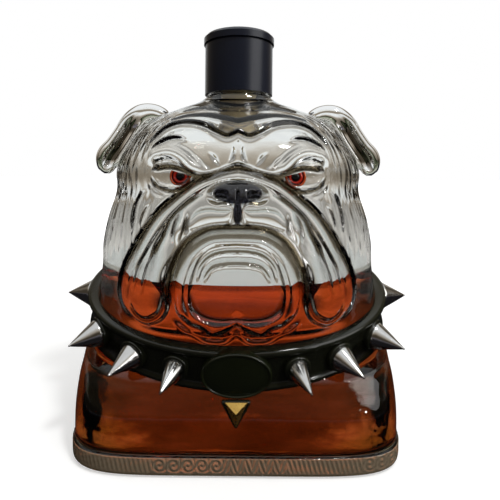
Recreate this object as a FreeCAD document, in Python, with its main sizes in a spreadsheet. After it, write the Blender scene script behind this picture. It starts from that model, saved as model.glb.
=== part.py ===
import FreeCAD, Part
import math
import os
import re

from FreeCAD import Placement, Rotation, Vector

# A glass bulldog decanter with a spiked collar and a lift-out stopper.
# Millimetres and degrees. Z is up, the face looks along -Y, and the origin is on the table
# under the bore of the neck.

SIZES = {
    # glass body
    "body_half_width": 68,
    "body_half_depth": 52,
    "head_height": 151.5,
    "wall": 4.5,
    "floor_thickness": 9,
    "floor_round": 6,
    "base_edge": 2,
    "base_band_height": 7.5,
    "base_ledge": 0.8,
    "neck_radius": 16.7,
    "neck_top": 153.5,
    "neck_depth": 8,
    "neck_bead": 0.7,
    "neck_bead_height": 1.6,
    "bore_radius": 10,
    "liquor_level": 73.5,
    "liquor_gap": 0.3,
    # relief of the face
    "muzzle_rise": 14,
    "jowl_rise": 5.5,
    "chin_rise": 4,
    "nose_rise": 6.5,
    "roll_rise": 2.4,
    "brow_rise": 4,
    "fang_rise": 2.6,
    "mouth_groove": 2.6,
    "fold_groove": 2.4,
    "socket_depth": 3,
    "frown_groove": 1.5,
    # ears
    "ear_breadth": 6.8,
    "ear_thickness": 7,
    # eyes
    "iris_radius": 4.3,
    "iris_depth": 2.6,
    "iris_dome": 0.8,
    "iris_flat": 2.8,
    "pupil_radius": 1.7,
    "pupil_depth": 1.5,
    # collar
    "throat_side_inset": 1,
    "throat_front_inset": 2,
    "collar_height": 53.6,
    "collar_tilt": 14,
    "band_width": 16,
    "band_thickness": 4,
    "rim_height": 2.4,
    "rim_rise": 1.3,
    "plate_half_width": 12.6,
    "plate_half_height": 9.2,
    "plate_thickness": 3.6,
    "plate_edge": 1,
    "plate_seat": 0.5,
    "plate_screw_offset": 7,
    "pendant_radius": 6.8,
    "pendant_thickness": 1.8,
    "pendant_margin": 0.9,
    "pendant_gap": 0.3,
    "point_rise": 2.6,
    # spikes
    "front_spike_radius": 4.3,
    "side_spike_radius": 6.4,
    "spike_length": 12.5,
    "spike_tip": 0.4,
    "post_radius": 1.5,
    "post_length": 3.5,
    "boss_margin": 1.1,
    "boss_height": 1.8,
    # screws of the plate
    "screw_radius": 1.2,
    "screw_head_radius": 2.4,
    "screw_head_height": 1,
    "screw_recess": 1.4,
    "screw_bite": 2,
    # stopper
    "sleeve_radius": 17,
    "sleeve_height": 24.4,
    "sleeve_web": 4,
    "sleeve_wall": 2.2,
    "disc_radius": 17.7,
    "disc_height": 4.4,
    "disc_edge": 1.4,
    "disc_gap": 0.8,
    "disc_inset": 1,
    "spigot_depth": 5,
    "core_radius": 9.1,
    "core_length": 21,
    "core_boss_radius": 4.5,
    "core_boss_gap": 0.3,
    "seal_thickness": 2,
    "seal_pitch": 4.6,
    "seal_groove": 1.4,
    "stopper_screw_radius": 2.5,
    "stopper_screw_bite": 12,
    "stopper_screw_head_radius": 6,
    "stopper_screw_head_height": 3,
    # fits and cutting
    "fit": 0.1,
    "slide_fit": 0.05,
    "overrun": 10,
}

doc = FreeCAD.newDocument("decanter")
sheet = doc.addObject("Spreadsheet::Sheet", "sheet")
for row, (name, value) in enumerate(SIZES.items(), start=1):
    sheet.set(f"A{row}", name)
    sheet.set(f"B{row}", str(value))
    sheet.setAlias(f"B{row}", name)
doc.recompute()


def size(name):
    return float(sheet.get(name))


HALF_WIDTH = size("body_half_width")
HALF_DEPTH = size("body_half_depth")
HEIGHT = size("head_height")

# The throat is the glass that the collar goes round.
THROAT_ACROSS = "body_half_width - throat_side_inset"
THROAT_ALONG = "body_half_depth - throat_front_inset"
THROAT_HALF_WIDTH = HALF_WIDTH - size("throat_side_inset")
THROAT_HALF_DEPTH = HALF_DEPTH - size("throat_front_inset")

# Cross-sections of the glass from the table up: share of the height, of the half-width, of the
# half-depth in front and at the back, and the squareness, where 2 is an ellipse.
SECTION_SHARES = [
    (0.000, 1.010, 1.010, 1.000, 6.0),
    (0.060, 1.012, 1.005, 1.000, 6.0),
    (0.130, 1.022, 0.995, 1.000, 5.2),
    (0.185, 1.028, 0.970, 0.990, 4.4),
    (0.220, 1.026, 0.955, 0.985, 3.7),
    (0.270, 1.020, 0.960, 0.985, 2.9),
    (0.320, 1.010, 0.985, 0.990, 2.4),
    (0.365, 0.995, 0.975, 1.000, 2.25),
    (0.420, 0.977, 0.920, 0.995, 2.2),
    (0.470, 0.966, 0.880, 0.970, 2.2),
    (0.540, 0.957, 0.860, 0.945, 2.3),
    (0.620, 0.920, 0.845, 0.920, 2.4),
    (0.700, 0.860, 0.830, 0.890, 2.4),
    (0.770, 0.838, 0.825, 0.860, 2.4),
    (0.840, 0.780, 0.780, 0.805, 2.4),
    (0.900, 0.700, 0.670, 0.700, 2.3),
    (0.940, 0.560, 0.530, 0.560, 2.2),
    (0.965, 0.420, 0.430, 0.440, 2.1),
    (0.985, 0.300, 0.350, 0.355, 2.0),
    (1.000, 0.250, 0.325, 0.325, 2.0),
]

# Rings of the sculpted skin above the base band, as shares of the height.
CHEST_RING_SHARES = [0.085, 0.13, 0.175, 0.22, 0.265, 0.31, 0.345]
FACE_RING_SHARES = (0.372, 0.846)
FACE_RINGS = 25
CROWN_RING_SHARES = [0.846, 0.875, 0.905, 0.932, 0.957, 0.978, 0.992, 1.0]

# Rounded forms of the face: share of the half-width across and of the height up, half-width and
# half-height as the same shares, and how flat the top is.
MUZZLE_SHARES = (0.00, 0.552, 0.545, 0.200, 4.0)
JOWL_SHARES = (0.50, 0.505, 0.165, 0.125, 2.6)
CHIN_SHARES = (0.00, 0.490, 0.310, 0.120, 4.0)
NOSE_SHARES = (0.00, 0.695, 0.155, 0.045, 3.0)
SOCKET_SHARES = (0.36, 0.750, 0.130, 0.034, 2.0)

# Ridges and furrows of the face: the places that they run through, as the same shares, and their
# half-width as a share of the half-width.
ROLL_SHARES = ([(0.0, 0.757), (0.15, 0.750), (0.30, 0.712), (0.44, 0.640), (0.55, 0.560)], 0.060)
BROW_SHARES = ([(0.53, 0.767), (0.49, 0.807), (0.43, 0.825), (0.34, 0.812), (0.20, 0.765)], 0.066)
FANG_SHARES = ([(0.284, 0.668), (0.306, 0.590)], 0.038)
MOUTH_SHARES = (
    [
        (0.0, 0.624),
        (0.17, 0.620),
        (0.267, 0.595),
        (0.335, 0.545),
        (0.368, 0.480),
        (0.333, 0.410),
        (0.240, 0.379),
        (0.128, 0.363),
        (0.0, 0.373),
    ],
    0.040,
)
FOLD_SHARES = (
    [
        (0.225, 0.749),
        (0.349, 0.724),
        (0.48, 0.668),
        (0.60, 0.575),
        (0.68, 0.484),
        (0.66, 0.410),
        (0.59, 0.370),
    ],
    0.040,
)
FROWN_SHARES = ([(0.0, 0.830), (0.0, 0.790)], 0.040)
PHILTRUM_SHARES = ([(0.0, 0.680), (0.0, 0.630)], 0.028)
SIDE_FADE_SHARE = 0.22
THROAT_FADE_SHARES = (0.335, 0.375)

# Ear rings from the root to the tip: share of the half-width across, of the half-depth back, of
# the height up, of the ear's breadth and of its thickness.
EAR_SHARES = [
    (0.50, 0.02, 0.870, 0.95, 1.20),
    (0.62, 0.00, 0.935, 0.98, 1.10),
    (0.77, -0.02, 0.945, 1.00, 1.00),
    (0.89, -0.05, 0.890, 1.00, 0.95),
    (0.97, -0.08, 0.825, 0.95, 0.85),
    (1.015, -0.10, 0.780, 0.60, 0.60),
    (1.030, -0.11, 0.766, 0.25, 0.25),
]
EAR_HOLLOW_SHARE = 0.62

# The cavity from its floor up: share of the height, of the half-width and of the half-depth, all
# drawn in by the wall.
CAVITY_SHARES = [
    (0.420, 0.965, 0.900),
    (0.620, 0.905, 0.880),
    (0.753, 0.825, 0.804),
    (0.840, 0.765, 0.736),
    (0.910, 0.640, 0.620),
    (0.950, 0.440, 0.439),
]
CAVITY_FLOOR_SHARES = (0.940, 0.862)
CAVITY_FOOT_SHARES = (0.985, 0.900)

EYE_SHARES = (0.353, 0.749)
SPIKES_A_SIDE = 7

# Spikes on one side, as shares of the way round the band from the plate.
SPIKE_SHARES = [0.059, 0.113, 0.173, 0.250, 0.3125, 0.375, 0.4375]
SIDE_SPIKE = 4
FRONT_POINTS = 36
BACK_POINTS = 12
EAR_POINTS = 12
FACE_SHARE = 0.6


def between(table, height_share):
    """The row of a share table at a height, on a smooth curve through its rows."""
    last = len(table) - 1
    i = 0
    while i < last - 1 and table[i + 1][0] < height_share:
        i += 1
    lower, upper = table[i], table[i + 1]
    before, after = table[max(i - 1, 0)], table[min(i + 2, last)]
    span = upper[0] - lower[0]
    t = min(max((height_share - lower[0]) / span, 0.0), 1.0)
    values = []
    for k in range(1, len(lower)):
        start_slope = (upper[k] - before[k]) / (upper[0] - before[0]) * span
        end_slope = (after[k] - lower[k]) / (after[0] - lower[0]) * span
        rise = upper[k] - lower[k]
        curve = (start_slope - 2 * rise + end_slope) * t + (3 * rise - 2 * start_slope - end_slope)
        values.append(lower[k] + start_slope * t + curve * t * t)
    return values


def mound(across, height, shares):
    """A rounded form of height one, mirrored on both sides of the face."""
    place, level, half_width, half_height, flatness = shares
    sideways = abs(across / HALF_WIDTH - place) / half_width
    upward = abs(height / HEIGHT - level) / half_height
    return math.exp(-(sideways**flatness) - upward**flatness)


def ridge(across, height, shares):
    """A ridge of height one along a broken line, mirrored on both sides of the face."""
    places, half_width = shares
    gaps = []
    for start, end in zip(places, places[1:]):
        x0, z0 = start[0] * HALF_WIDTH, start[1] * HEIGHT
        x1, z1 = end[0] * HALF_WIDTH, end[1] * HEIGHT
        run = (x1 - x0) ** 2 + (z1 - z0) ** 2
        along = ((across - x0) * (x1 - x0) + (height - z0) * (z1 - z0)) / run
        along = min(max(along, 0.0), 1.0)
        gaps.append(math.hypot(across - x0 - along * (x1 - x0), height - z0 - along * (z1 - z0)))
    return math.exp(-((min(gaps) / (half_width * HALF_WIDTH)) ** 2))


def relief(across, height):
    """How far the face stands out from the plain head."""
    low_share, high_share = THROAT_FADE_SHARES
    fade = min(max((height / HEIGHT - low_share) / (high_share - low_share), 0.0), 1.0)
    return fade * (
        size("muzzle_rise") * mound(across, height, MUZZLE_SHARES)
        + size("jowl_rise") * mound(across, height, JOWL_SHARES)
        + size("chin_rise") * mound(across, height, CHIN_SHARES)
        + size("nose_rise") * mound(across, height, NOSE_SHARES)
        + size("roll_rise") * ridge(across, height, ROLL_SHARES)
        + size("brow_rise") * ridge(across, height, BROW_SHARES)
        + size("fang_rise") * ridge(across, height, FANG_SHARES)
        - size("mouth_groove") * ridge(across, height, MOUTH_SHARES)
        - size("fold_groove") * ridge(across, height, FOLD_SHARES)
        - size("socket_depth") * mound(across, height, SOCKET_SHARES)
        - size("frown_groove") * ridge(across, height, FROWN_SHARES)
        - size("frown_groove") * ridge(across, height, PHILTRUM_SHARES)
    )


def front(across, height):
    """Depth of the glass in front of the axis, at a place on the face."""
    width, depth, _, squareness = between(SECTION_SHARES, height / HEIGHT)
    beside = min(abs(across) / (width * HALF_WIDTH), 1.0)
    fade = min(1.0, (1 - beside) / SIDE_FADE_SHARE)
    plain = depth * HALF_DEPTH * (1 - beside**squareness) ** (1 / squareness)
    return plain + relief(abs(across), height) * fade


def ring_angles():
    """Angles round the glass from its right-hand side, closer together on the face."""
    angles = []
    for i in range(FRONT_POINTS):
        t = 2 * i / FRONT_POINTS - 1
        angles.append(math.pi / 2 * (3 + FACE_SHARE * t + (1 - FACE_SHARE) * t**3))
    for i in range(BACK_POINTS):
        angles.append(math.pi * i / BACK_POINTS)
    return angles


def section(height, inset):
    """One closed ring of the glass at a height, drawn in by an inset."""
    width, depth, back, squareness = between(SECTION_SHARES, height / HEIGHT)
    half_width = width * HALF_WIDTH - inset
    ring = []
    for angle in ring_angles():
        facing = angle >= math.pi
        half_depth = (depth if facing else back) * HALF_DEPTH - inset
        across = abs(math.cos(angle)) / half_width
        along = abs(math.sin(angle)) / half_depth
        reach = (across**squareness + along**squareness) ** (-1 / squareness)
        x, y = reach * math.cos(angle), reach * math.sin(angle)
        if facing:
            fade = min(1.0, (1 - abs(x) / half_width) / SIDE_FADE_SHARE)
            y -= relief(abs(x), height) * fade
        ring.append(Vector(x, y, height))
    return ring


def skin(rings):
    """A closed solid of flat facets over rings of points, with flat ends."""
    around = len(rings[0])
    points = [point for ring in rings for point in ring]
    facets = []
    for level in range(len(rings) - 1):
        for i in range(around):
            a = level * around + i
            b = level * around + (i + 1) % around
            facets.append((a, b, b + around))
            facets.append((a, b + around, a + around))
    for ring, turn in ((rings[0], -1), (rings[-1], 1)):
        points.append(sum(ring, Vector()) * (1 / around))
        first = 0 if turn < 0 else (len(rings) - 1) * around
        for i in range(around):
            rim = (first + i, first + (i + 1) % around)
            facets.append((*rim[::turn], len(points) - 1))
    shell = Part.Shape()
    shell.makeShapeFromMesh((points, facets), 0)
    return Part.Solid(Part.Shell(shell.Faces))


def bind(item, **formulas):
    """Ties properties of a document object to named sizes of the sheet."""
    for prop, formula in formulas.items():
        tied = re.sub(r"[a-z][a-z_]*[a-z]", r"sheet.\g<0>", formula)
        item.setExpression(prop.replace("__", "."), tied)
    return item


def column(name, radius, height, base="0 * fit"):
    """An upright round column on a height."""
    item = doc.addObject("Part::Cylinder", name)
    return bind(item, Radius=radius, Height=height, Placement__Base__z=base)


def cone(name, lower, upper, height, base):
    item = doc.addObject("Part::Cone", name)
    return bind(item, Radius1=lower, Radius2=upper, Height=height, Placement__Base__z=base)


def oval(name, across, along, base="0 * fit"):
    """An ellipse that lies flat on a height, longest across."""
    item = doc.addObject("Part::Ellipse", name)
    return bind(item, MajorRadius=across, MinorRadius=along, Placement__Base__z=base)


def loft(name, profiles):
    item = doc.addObject("Part::Loft", name)
    item.Sections = profiles
    item.Solid = True
    item.Ruled = True
    return item


def thickened(name, profile, forward, rearward="0 * fit", way=Vector(0, 0, 1)):
    """A flat profile thickened along a way, upwards unless told, and back from it."""
    item = doc.addObject("Part::Extrusion", name)
    item.Base = profile
    item.DirMode = "Custom"
    item.Dir = way
    item.Solid = True
    return bind(item, LengthFwd=forward, LengthRev=rearward)


def fused(name, items):
    item = doc.addObject("Part::MultiFuse", name)
    item.Shapes = items
    item.Refine = False
    return item


def cut(name, base, *tools):
    """A base less one tool, or less several joined first."""
    tool = tools[0] if len(tools) == 1 else fused(name + "_tools", list(tools))
    item = doc.addObject("Part::Cut", name)
    item.Base = base
    item.Tool = tool
    item.Refine = False
    return item


def solid(name, shape):
    item = doc.addObject("Part::Feature", name)
    item.Shape = shape
    return item


PARTS = {}


def keep(node, item):
    """Names a finished piece."""
    item.Label = node
    PARTS[node] = item
    return item


# The glass: one moulded piece with a cavity, a collar groove and two eye pockets.


def glass_rings():
    edge, band, ledge = size("base_edge"), size("base_band_height"), size("base_ledge")
    rings = [section(0, edge), section(edge, 0), section(band, 0), section(band, ledge)]
    low_share, high_share = FACE_RING_SHARES
    levels = list(CHEST_RING_SHARES)
    levels += [low_share + (high_share - low_share) * i / FACE_RINGS for i in range(FACE_RINGS)]
    levels += CROWN_RING_SHARES
    for level in levels:
        left = max(1 - level / CHEST_RING_SHARES[-1], 0.0)
        rings.append(section(level * HEIGHT, ledge * left))
    return rings


def ear_rings(side, width_share, forward):
    """Rings of a folded ear, square to the line that the ear follows."""
    spots = [Vector(side * e[0] * HALF_WIDTH, e[1] * HALF_DEPTH, e[2] * HEIGHT) for e in EAR_SHARES]
    rings = []
    for i, spot in enumerate(spots):
        ahead = spots[min(i + 1, len(spots) - 1)] - spots[max(i - 1, 0)]
        outward = Vector(0, side, 0).cross(ahead).normalize()
        facing = ahead.cross(outward).normalize()
        breadth = size("ear_breadth") * EAR_SHARES[i][3] * width_share
        thickness = size("ear_thickness") * EAR_SHARES[i][4] * width_share
        middle = spot - Vector(0, forward * EAR_SHARES[i][4], 0)
        ring = []
        for k in range(EAR_POINTS):
            turn = 2 * math.pi * k / EAR_POINTS
            rim = outward * (breadth * math.cos(turn)) + facing * (thickness * math.sin(turn))
            ring.append(middle + rim)
        rings.append(ring)
    return rings


def ear(side, name):
    """A folded ear with its hollow in front, open from the middle to near the tip."""
    flap = solid(name + "_flap", skin(ear_rings(side, 1, 0)))
    rings = ear_rings(side, EAR_HOLLOW_SHARE, size("ear_thickness"))
    hollow = solid(name + "_hollow", skin(rings[2:]))
    return cut(name, flap, hollow)


def collar_placed(item):
    """Sets a piece that was drawn level at the origin into the tilted collar."""
    tilt = Rotation(Vector(1, 0, 0), size("collar_tilt"))
    item.Placement = Placement(Vector(0, 0, size("collar_height")), tilt)
    return item


def wall_oval(name, width_share, depth_share, gap, base):
    """An oval of the cavity, drawn in by the wall and a gap."""
    across = f"body_half_width * {width_share} - wall - {gap}"
    along = f"body_half_depth * {depth_share} - wall - {gap}"
    return oval(name, across, along, base)


def hollow_form(name, gap):
    """The cavity, or the liquor that fills it but for a gap."""
    floor = f"floor_thickness + {gap}"
    profiles = [
        wall_oval(name + "_floor", *CAVITY_FLOOR_SHARES, gap, floor),
        wall_oval(name + "_foot", *CAVITY_FOOT_SHARES, gap, floor + " + floor_round"),
    ]
    for i, (level, width_share, depth_share) in enumerate(CAVITY_SHARES):
        height = f"head_height * {level}"
        profiles.append(wall_oval(f"{name}_{i}", width_share, depth_share, gap, height))
    return loft(name, profiles)


def eye_place(side, inward):
    """The middle of an eye, a way into the glass, with its axis out of the face."""
    across, level = EYE_SHARES[0] * HALF_WIDTH, EYE_SHARES[1] * HEIGHT
    spot = Vector(side * across, inward - front(across, level), level)
    return Placement(spot, Rotation(Vector(0, 0, 1), Vector(0, -1, 0)))


def eye_pocket(side, name):
    item = doc.addObject("Part::Cylinder", name)
    bind(item, Radius="iris_radius + fit", Height="iris_depth + overrun")
    item.Placement = eye_place(side, size("iris_depth"))
    return item


def collar_groove():
    """The ring of glass that makes room for the collar."""
    half = "band_width / 2 + fit"
    beyond = oval("groove_outside", THROAT_ACROSS + " + overrun * 2", THROAT_ALONG + " + overrun * 2")
    throat = oval("groove_throat", THROAT_ACROSS, THROAT_ALONG)
    block = thickened("groove_block", beyond, half, half)
    post = thickened("groove_post", throat, half, half)
    return collar_placed(cut("groove", block, post))


def neck():
    """The ringed neck under the stopper."""
    stem = column("neck_stem", "neck_radius - neck_bead", "neck_depth", "neck_top - neck_depth")
    lip = column("neck_lip", "neck_radius", "neck_bead_height", "neck_top - neck_bead_height")
    foot = column("neck_foot", "neck_radius", "neck_depth - neck_bead_height * 2", "neck_top - neck_depth")
    return fused("neck", [stem, lip, foot])


def glass_body():
    head = solid("glass_skin", skin(glass_rings()))
    body = fused("glass_blank", [head, ear(-1, "ear_left"), ear(1, "ear_right"), neck()])
    bore = column("bore", "bore_radius", "neck_depth + overrun * 2", "neck_top - neck_depth - overrun")
    return cut(
        "glass_cut",
        body,
        hollow_form("cavity", "fit * 0"),
        bore,
        collar_groove(),
        eye_pocket(-1, "eye_pocket_left"),
        eye_pocket(1, "eye_pocket_right"),
    )


keep("glass_body", glass_body())


# The liquor stands a gap off the glass, up to its level.


def liquor_fill():
    block = doc.addObject("Part::Box", "liquor_block")
    bind(block, Length="body_half_width * 2", Width="body_half_depth * 2", Height="liquor_level")
    bind(block, Placement__Base__x="-body_half_width", Placement__Base__y="-body_half_depth")
    item = doc.addObject("Part::Common", "liquor")
    item.Base = hollow_form("liquor_form", "liquor_gap")
    item.Tool = block
    return item


keep("liquor_fill", liquor_fill())


# Each eye is a domed iris set in its pocket, with the pupil set in the iris.


def eye(side, name):
    disc = column(name + "_disc", "iris_radius", "iris_depth")
    dome = cone(name + "_dome", "iris_radius", "iris_flat", "iris_dome", "iris_depth")
    pit_floor = "iris_depth + iris_dome - pupil_depth"
    pit = column(name + "_pit", "pupil_radius", "pupil_depth + overrun", pit_floor)
    iris = cut(name + "_iris", fused(name + "_lens", [disc, dome]), pit)
    iris.Placement = eye_place(side, size("iris_depth"))
    pupil = doc.addObject("Part::Cylinder", name + "_pupil")
    bind(pupil, Radius="pupil_radius - slide_fit", Height="pupil_depth")
    pupil.Placement = eye_place(side, size("pupil_depth") - size("iris_dome"))
    keep("eye_iris_" + name, iris)
    keep("eye_pupil_" + name, pupil)


eye(-1, "left")
eye(1, "right")


# The collar is drawn level round the origin, then set into its groove.

SEAM_TURN = 25
OVAL_STEPS = 4000
BAND_OUTER_ACROSS = THROAT_HALF_WIDTH + size("fit") + size("band_thickness")
BAND_OUTER_ALONG = THROAT_HALF_DEPTH + size("fit") + size("band_thickness")


def band_form():
    """The outside of the band with a raised rim along its top and its foot."""
    across = THROAT_ACROSS + " + fit + band_thickness"
    along = THROAT_ALONG + " + fit + band_thickness"
    half = "band_width / 2"
    forms = [thickened("band_wall", oval("band_outline", across, along), half, half)]
    for name, base in (("top", "band_width / 2 - rim_height"), ("foot", "-band_width / 2")):
        outline = oval(f"band_{name}_outline", across + " + rim_rise", along + " + rim_rise", base)
        forms.append(thickened(f"band_{name}_rim", outline, "rim_height"))
    return fused("band_outside", forms)


def spike_turns():
    """Turns round the band's oval at which the spikes stand."""
    shares = SPIKE_SHARES + [1 / 2] + [1 - share for share in reversed(SPIKE_SHARES)]
    lengths = [0.0]
    for i in range(OVAL_STEPS):
        turn = 2 * math.pi * (i + 1 / 2) / OVAL_STEPS
        step = math.hypot(BAND_OUTER_ACROSS * math.cos(turn), BAND_OUTER_ALONG * math.sin(turn))
        lengths.append(lengths[-1] + step * 2 * math.pi / OVAL_STEPS)
    turns = []
    i = 0
    for share in shares:
        while lengths[i] < lengths[-1] * share:
            i += 1
        turns.append(2 * math.pi * i / OVAL_STEPS)
    return turns


def spike_place(turn, outward):
    """A place on the band's face, or a way out from it, with the axis square to the face."""
    spot = Vector(BAND_OUTER_ACROSS * math.sin(turn), -BAND_OUTER_ALONG * math.cos(turn), 0)
    square = Vector(math.sin(turn) / BAND_OUTER_ACROSS, -math.cos(turn) / BAND_OUTER_ALONG, 0)
    square.normalize()
    aim = Rotation(Vector(0, 0, 1), square) * Rotation(Vector(0, 0, 1), SEAM_TURN)
    return Placement(spot + square * outward, aim)


def spike_names():
    """Node names in order round the collar from the plate, to the right-hand side first."""
    right = [f"right_{i + 1}" for i in range(SPIKES_A_SIDE)]
    left = [f"left_{i + 1}" for i in reversed(range(SPIKES_A_SIDE))]
    return right + ["back"] + left


def spike_radius(index):
    """The spikes grow from the plate to the sides and stay so round the back."""
    from_plate = min(index + 1, 2 * (SPIKES_A_SIDE + 1) - index - 1)
    grown = min((from_plate - 1) / (SIDE_SPIKE - 1), 1.0)
    return f"(front_spike_radius + (side_spike_radius - front_spike_radius) * {grown})"


def spike_column(name, turn, radius, height, outward):
    """A round column on a spike's axis."""
    item = bind(doc.addObject("Part::Cylinder", name), Radius=radius, Height=height)
    item.Placement = spike_place(turn, outward)
    return item


def flat_frame(outward):
    """A frame on the front of the level collar that faces out, with X across and Y up."""
    facing = Rotation(Vector(1, 0, 0), Vector(0, 0, 1), Vector(0, -1, 0), "ZXY")
    return Placement(Vector(0, -outward, 0), facing)


PLATE_BACK = BAND_OUTER_ALONG - size("plate_seat")


def plate_seat():
    outline = doc.addObject("Part::Ellipse", "seat_outline")
    bind(outline, MajorRadius="plate_half_width + fit", MinorRadius="plate_half_height + fit")
    outline.Placement = flat_frame(PLATE_BACK)
    return thickened("seat", outline, "overrun", way=Vector(0, -1, 0))


def plate_bores(name, radius, depth, outward):
    """A pair of columns behind the plate, from a depth outwards."""
    items = []
    for side in (-1, 1):
        item = bind(doc.addObject("Part::Cylinder", f"{name}_{side + 1}"), Radius=radius, Height=depth)
        beside = Placement(Vector(side * size("plate_screw_offset"), 0, 0), Rotation())
        item.Placement = flat_frame(outward) * beside
        items.append(item)
    return items


SCREW_SEAT = THROAT_HALF_DEPTH + size("fit") + size("screw_recess")


def band_bosses():
    """Raised round seats for the spikes, out from the middle of the band."""
    bosses = []
    for index, (turn, name) in enumerate(zip(spike_turns(), spike_names())):
        radius = spike_radius(index) + " + boss_margin"
        height = "boss_height + band_thickness / 2"
        below = size("band_thickness") / 2
        bosses.append(spike_column("boss_" + name, turn, radius, height, -below))
    return bosses


def collar_band():
    inside = oval("band_inside", THROAT_ACROSS + " + fit", THROAT_ALONG + " + fit")
    half = "band_width / 2 + overrun"
    ring = cut("band_ring", band_form(), thickened("band_opening", inside, half, half))
    tools = [plate_seat()]
    out = size("boss_height") - size("post_length") - size("fit")
    for turn, name in zip(spike_turns(), spike_names()):
        hole = spike_column("post_hole_" + name, turn, "post_radius + fit", "post_length + overrun", out)
        tools.append(hole)
    inner = THROAT_HALF_DEPTH - size("overrun")
    tools += plate_bores("screw_hole", "screw_radius + fit", "overrun * 3", inner)
    tools += plate_bores("screw_room", "screw_head_radius + fit", "overrun + fit + screw_recess", inner)
    bossed = fused("band_with_bosses", [ring] + band_bosses())
    return collar_placed(cut("band", bossed, *tools))


keep("collar_band", collar_band())


def spike(turn, name, radius):
    """A cone with the post that is pressed into its boss."""
    point = doc.addObject("Part::Cone", "point_" + name)
    bind(point, Radius1=radius, Radius2="spike_tip", Height="spike_length")
    point.Placement = spike_place(turn, size("boss_height"))
    out = size("boss_height") - size("post_length")
    post = spike_column("post_" + name, turn, "post_radius", "post_length", out)
    return fused("spike_of_" + name, [point, post])


def spike_set(node, side):
    """The spikes of one side as a group of separate solids."""
    spikes = []
    for index, (turn, name) in enumerate(zip(spike_turns(), spike_names())):
        if name.startswith(side):
            spikes.append(spike(turn, name, spike_radius(index)))
    item = doc.addObject("Part::Compound", node + "_set")
    item.Links = spikes
    keep(node, collar_placed(item))


spike_set("spikes_left", "left")
spike_set("spikes_right", "right")
spike_set("spike_back", "back")


# The bare oval plate, its two screws, and the brass point in its setting below.


def plate_form():
    """The plate: back, edge and a smaller face."""
    levels = [
        ("plate_half_width", "plate_half_height", 0),
        ("plate_half_width", "plate_half_height", size("plate_thickness") - size("plate_edge")),
        ("plate_half_width - plate_edge", "plate_half_height - plate_edge", size("plate_thickness")),
    ]
    profiles = []
    for i, (across, along, out) in enumerate(levels):
        item = doc.addObject("Part::Ellipse", f"plate_oval_{i}")
        bind(item, MajorRadius=across, MinorRadius=along)
        item.Placement = flat_frame(PLATE_BACK + out)
        profiles.append(item)
    return loft("plate_form", profiles)


def collar_plate():
    depth = "overrun + screw_bite + fit"
    holes = plate_bores("plate_bore", "screw_radius + fit", depth, PLATE_BACK - size("overrun"))
    return collar_placed(cut("plate", plate_form(), *holes))


keep("collar_plate", collar_plate())


def plate_screws():
    """Two screws from behind the band into the plate."""
    start = SCREW_SEAT - size("screw_head_height")
    grip = "band_thickness - plate_seat - screw_recess"
    shanks = plate_bores("screw_shank", "screw_radius", grip + " + screw_head_height + screw_bite", start)
    heads = plate_bores("screw_top", "screw_head_radius", "screw_head_height", start)
    item = doc.addObject("Part::Compound", "plate_screw_set")
    item.Links = [fused(f"plate_screw_{i}", pair) for i, pair in enumerate(zip(shanks, heads))]
    return collar_placed(item)


keep("plate_screws", plate_screws())


# The pendant hangs upright from the plate's lower edge, clear of the chest behind it.

DOWN_AND_OUT = Rotation(Vector(0, 0, -1), Vector(1, 0, 0), Vector(0, -1, 0), "ZXY")


def pendant_spot(outward):
    """The middle of the pendant, a way out from its back."""
    tilt = math.radians(size("collar_tilt"))
    face = PLATE_BACK + size("plate_thickness")
    plate_foot = -face * math.sin(tilt) - size("plate_half_height") * math.cos(tilt)
    level = size("collar_height") + plate_foot + size("plate_edge") - size("pendant_radius") / 2
    return Vector(0, -HALF_DEPTH - size("pendant_gap") - outward, level)


def pendant_setting():
    """A three-cornered dark setting, its top shaped to the plate."""
    block = doc.addObject("Part::Prism", "setting_block")
    bind(block, Circumradius="pendant_radius", Height="pendant_thickness")
    block.Polygon = 3
    block.Placement = Placement(pendant_spot(0), DOWN_AND_OUT)
    outline = doc.addObject("Part::Ellipse", "setting_plate_outline")
    bind(outline, MajorRadius="plate_half_width", MinorRadius="plate_half_height")
    outline.Placement = flat_frame(PLATE_BACK - size("overrun"))
    room = collar_placed(thickened("setting_room", outline, "overrun * 3", way=Vector(0, -1, 0)))
    return cut("setting", block, room)


def pendant_point():
    """A brass pyramid on the face of the setting."""
    base = doc.addObject("Part::RegularPolygon", "point_base")
    bind(base, Circumradius="pendant_radius - pendant_margin * 2")
    base.Polygon = 3
    base.Placement = Placement(pendant_spot(size("pendant_thickness")), DOWN_AND_OUT)
    tip = doc.addObject("Part::Vertex", "point_tip")
    peak = pendant_spot(size("pendant_thickness") + size("point_rise"))
    tip.Placement = Placement(peak, Rotation())
    return loft("point", [base, tip])


keep("pendant_setting", pendant_setting())
keep("pendant_point", pendant_point())


# The stopper: a sleeve screwed to the core that seals in the bore, closed by a top disc.

SEALS = 3


def stopper_sleeve():
    outside = column("sleeve_outside", "sleeve_radius", "sleeve_height", "neck_top")
    room_radius = "sleeve_radius - sleeve_wall"
    inside = column("sleeve_inside", room_radius, "sleeve_height", "neck_top + sleeve_web")
    hole = column("sleeve_hole", "core_boss_radius + fit", "overrun * 2", "neck_top - overrun")
    return cut("sleeve", outside, inside, hole)


def stopper_top_disc():
    top = "neck_top + sleeve_height"
    spigot_radius = "sleeve_radius - sleeve_wall - fit"
    spigot = column("disc_spigot", spigot_radius, "spigot_depth", top + " - spigot_depth")
    waist = column("disc_waist", "sleeve_radius - disc_inset", "disc_gap", top)
    rim = column("disc_rim", "disc_radius", "disc_height - disc_edge", top + " + disc_gap")
    edge_base = top + " + disc_gap + disc_height - disc_edge"
    edge = cone("disc_bevel", "disc_radius", "disc_radius - disc_edge", "disc_edge", edge_base)
    return fused("disc", [spigot, waist, rim, edge])


def seal_base(index):
    """Height of the underside of a sealing ring, counted from the lowest."""
    return f"neck_top - core_length + seal_pitch * {index + 1} - seal_thickness"


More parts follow.
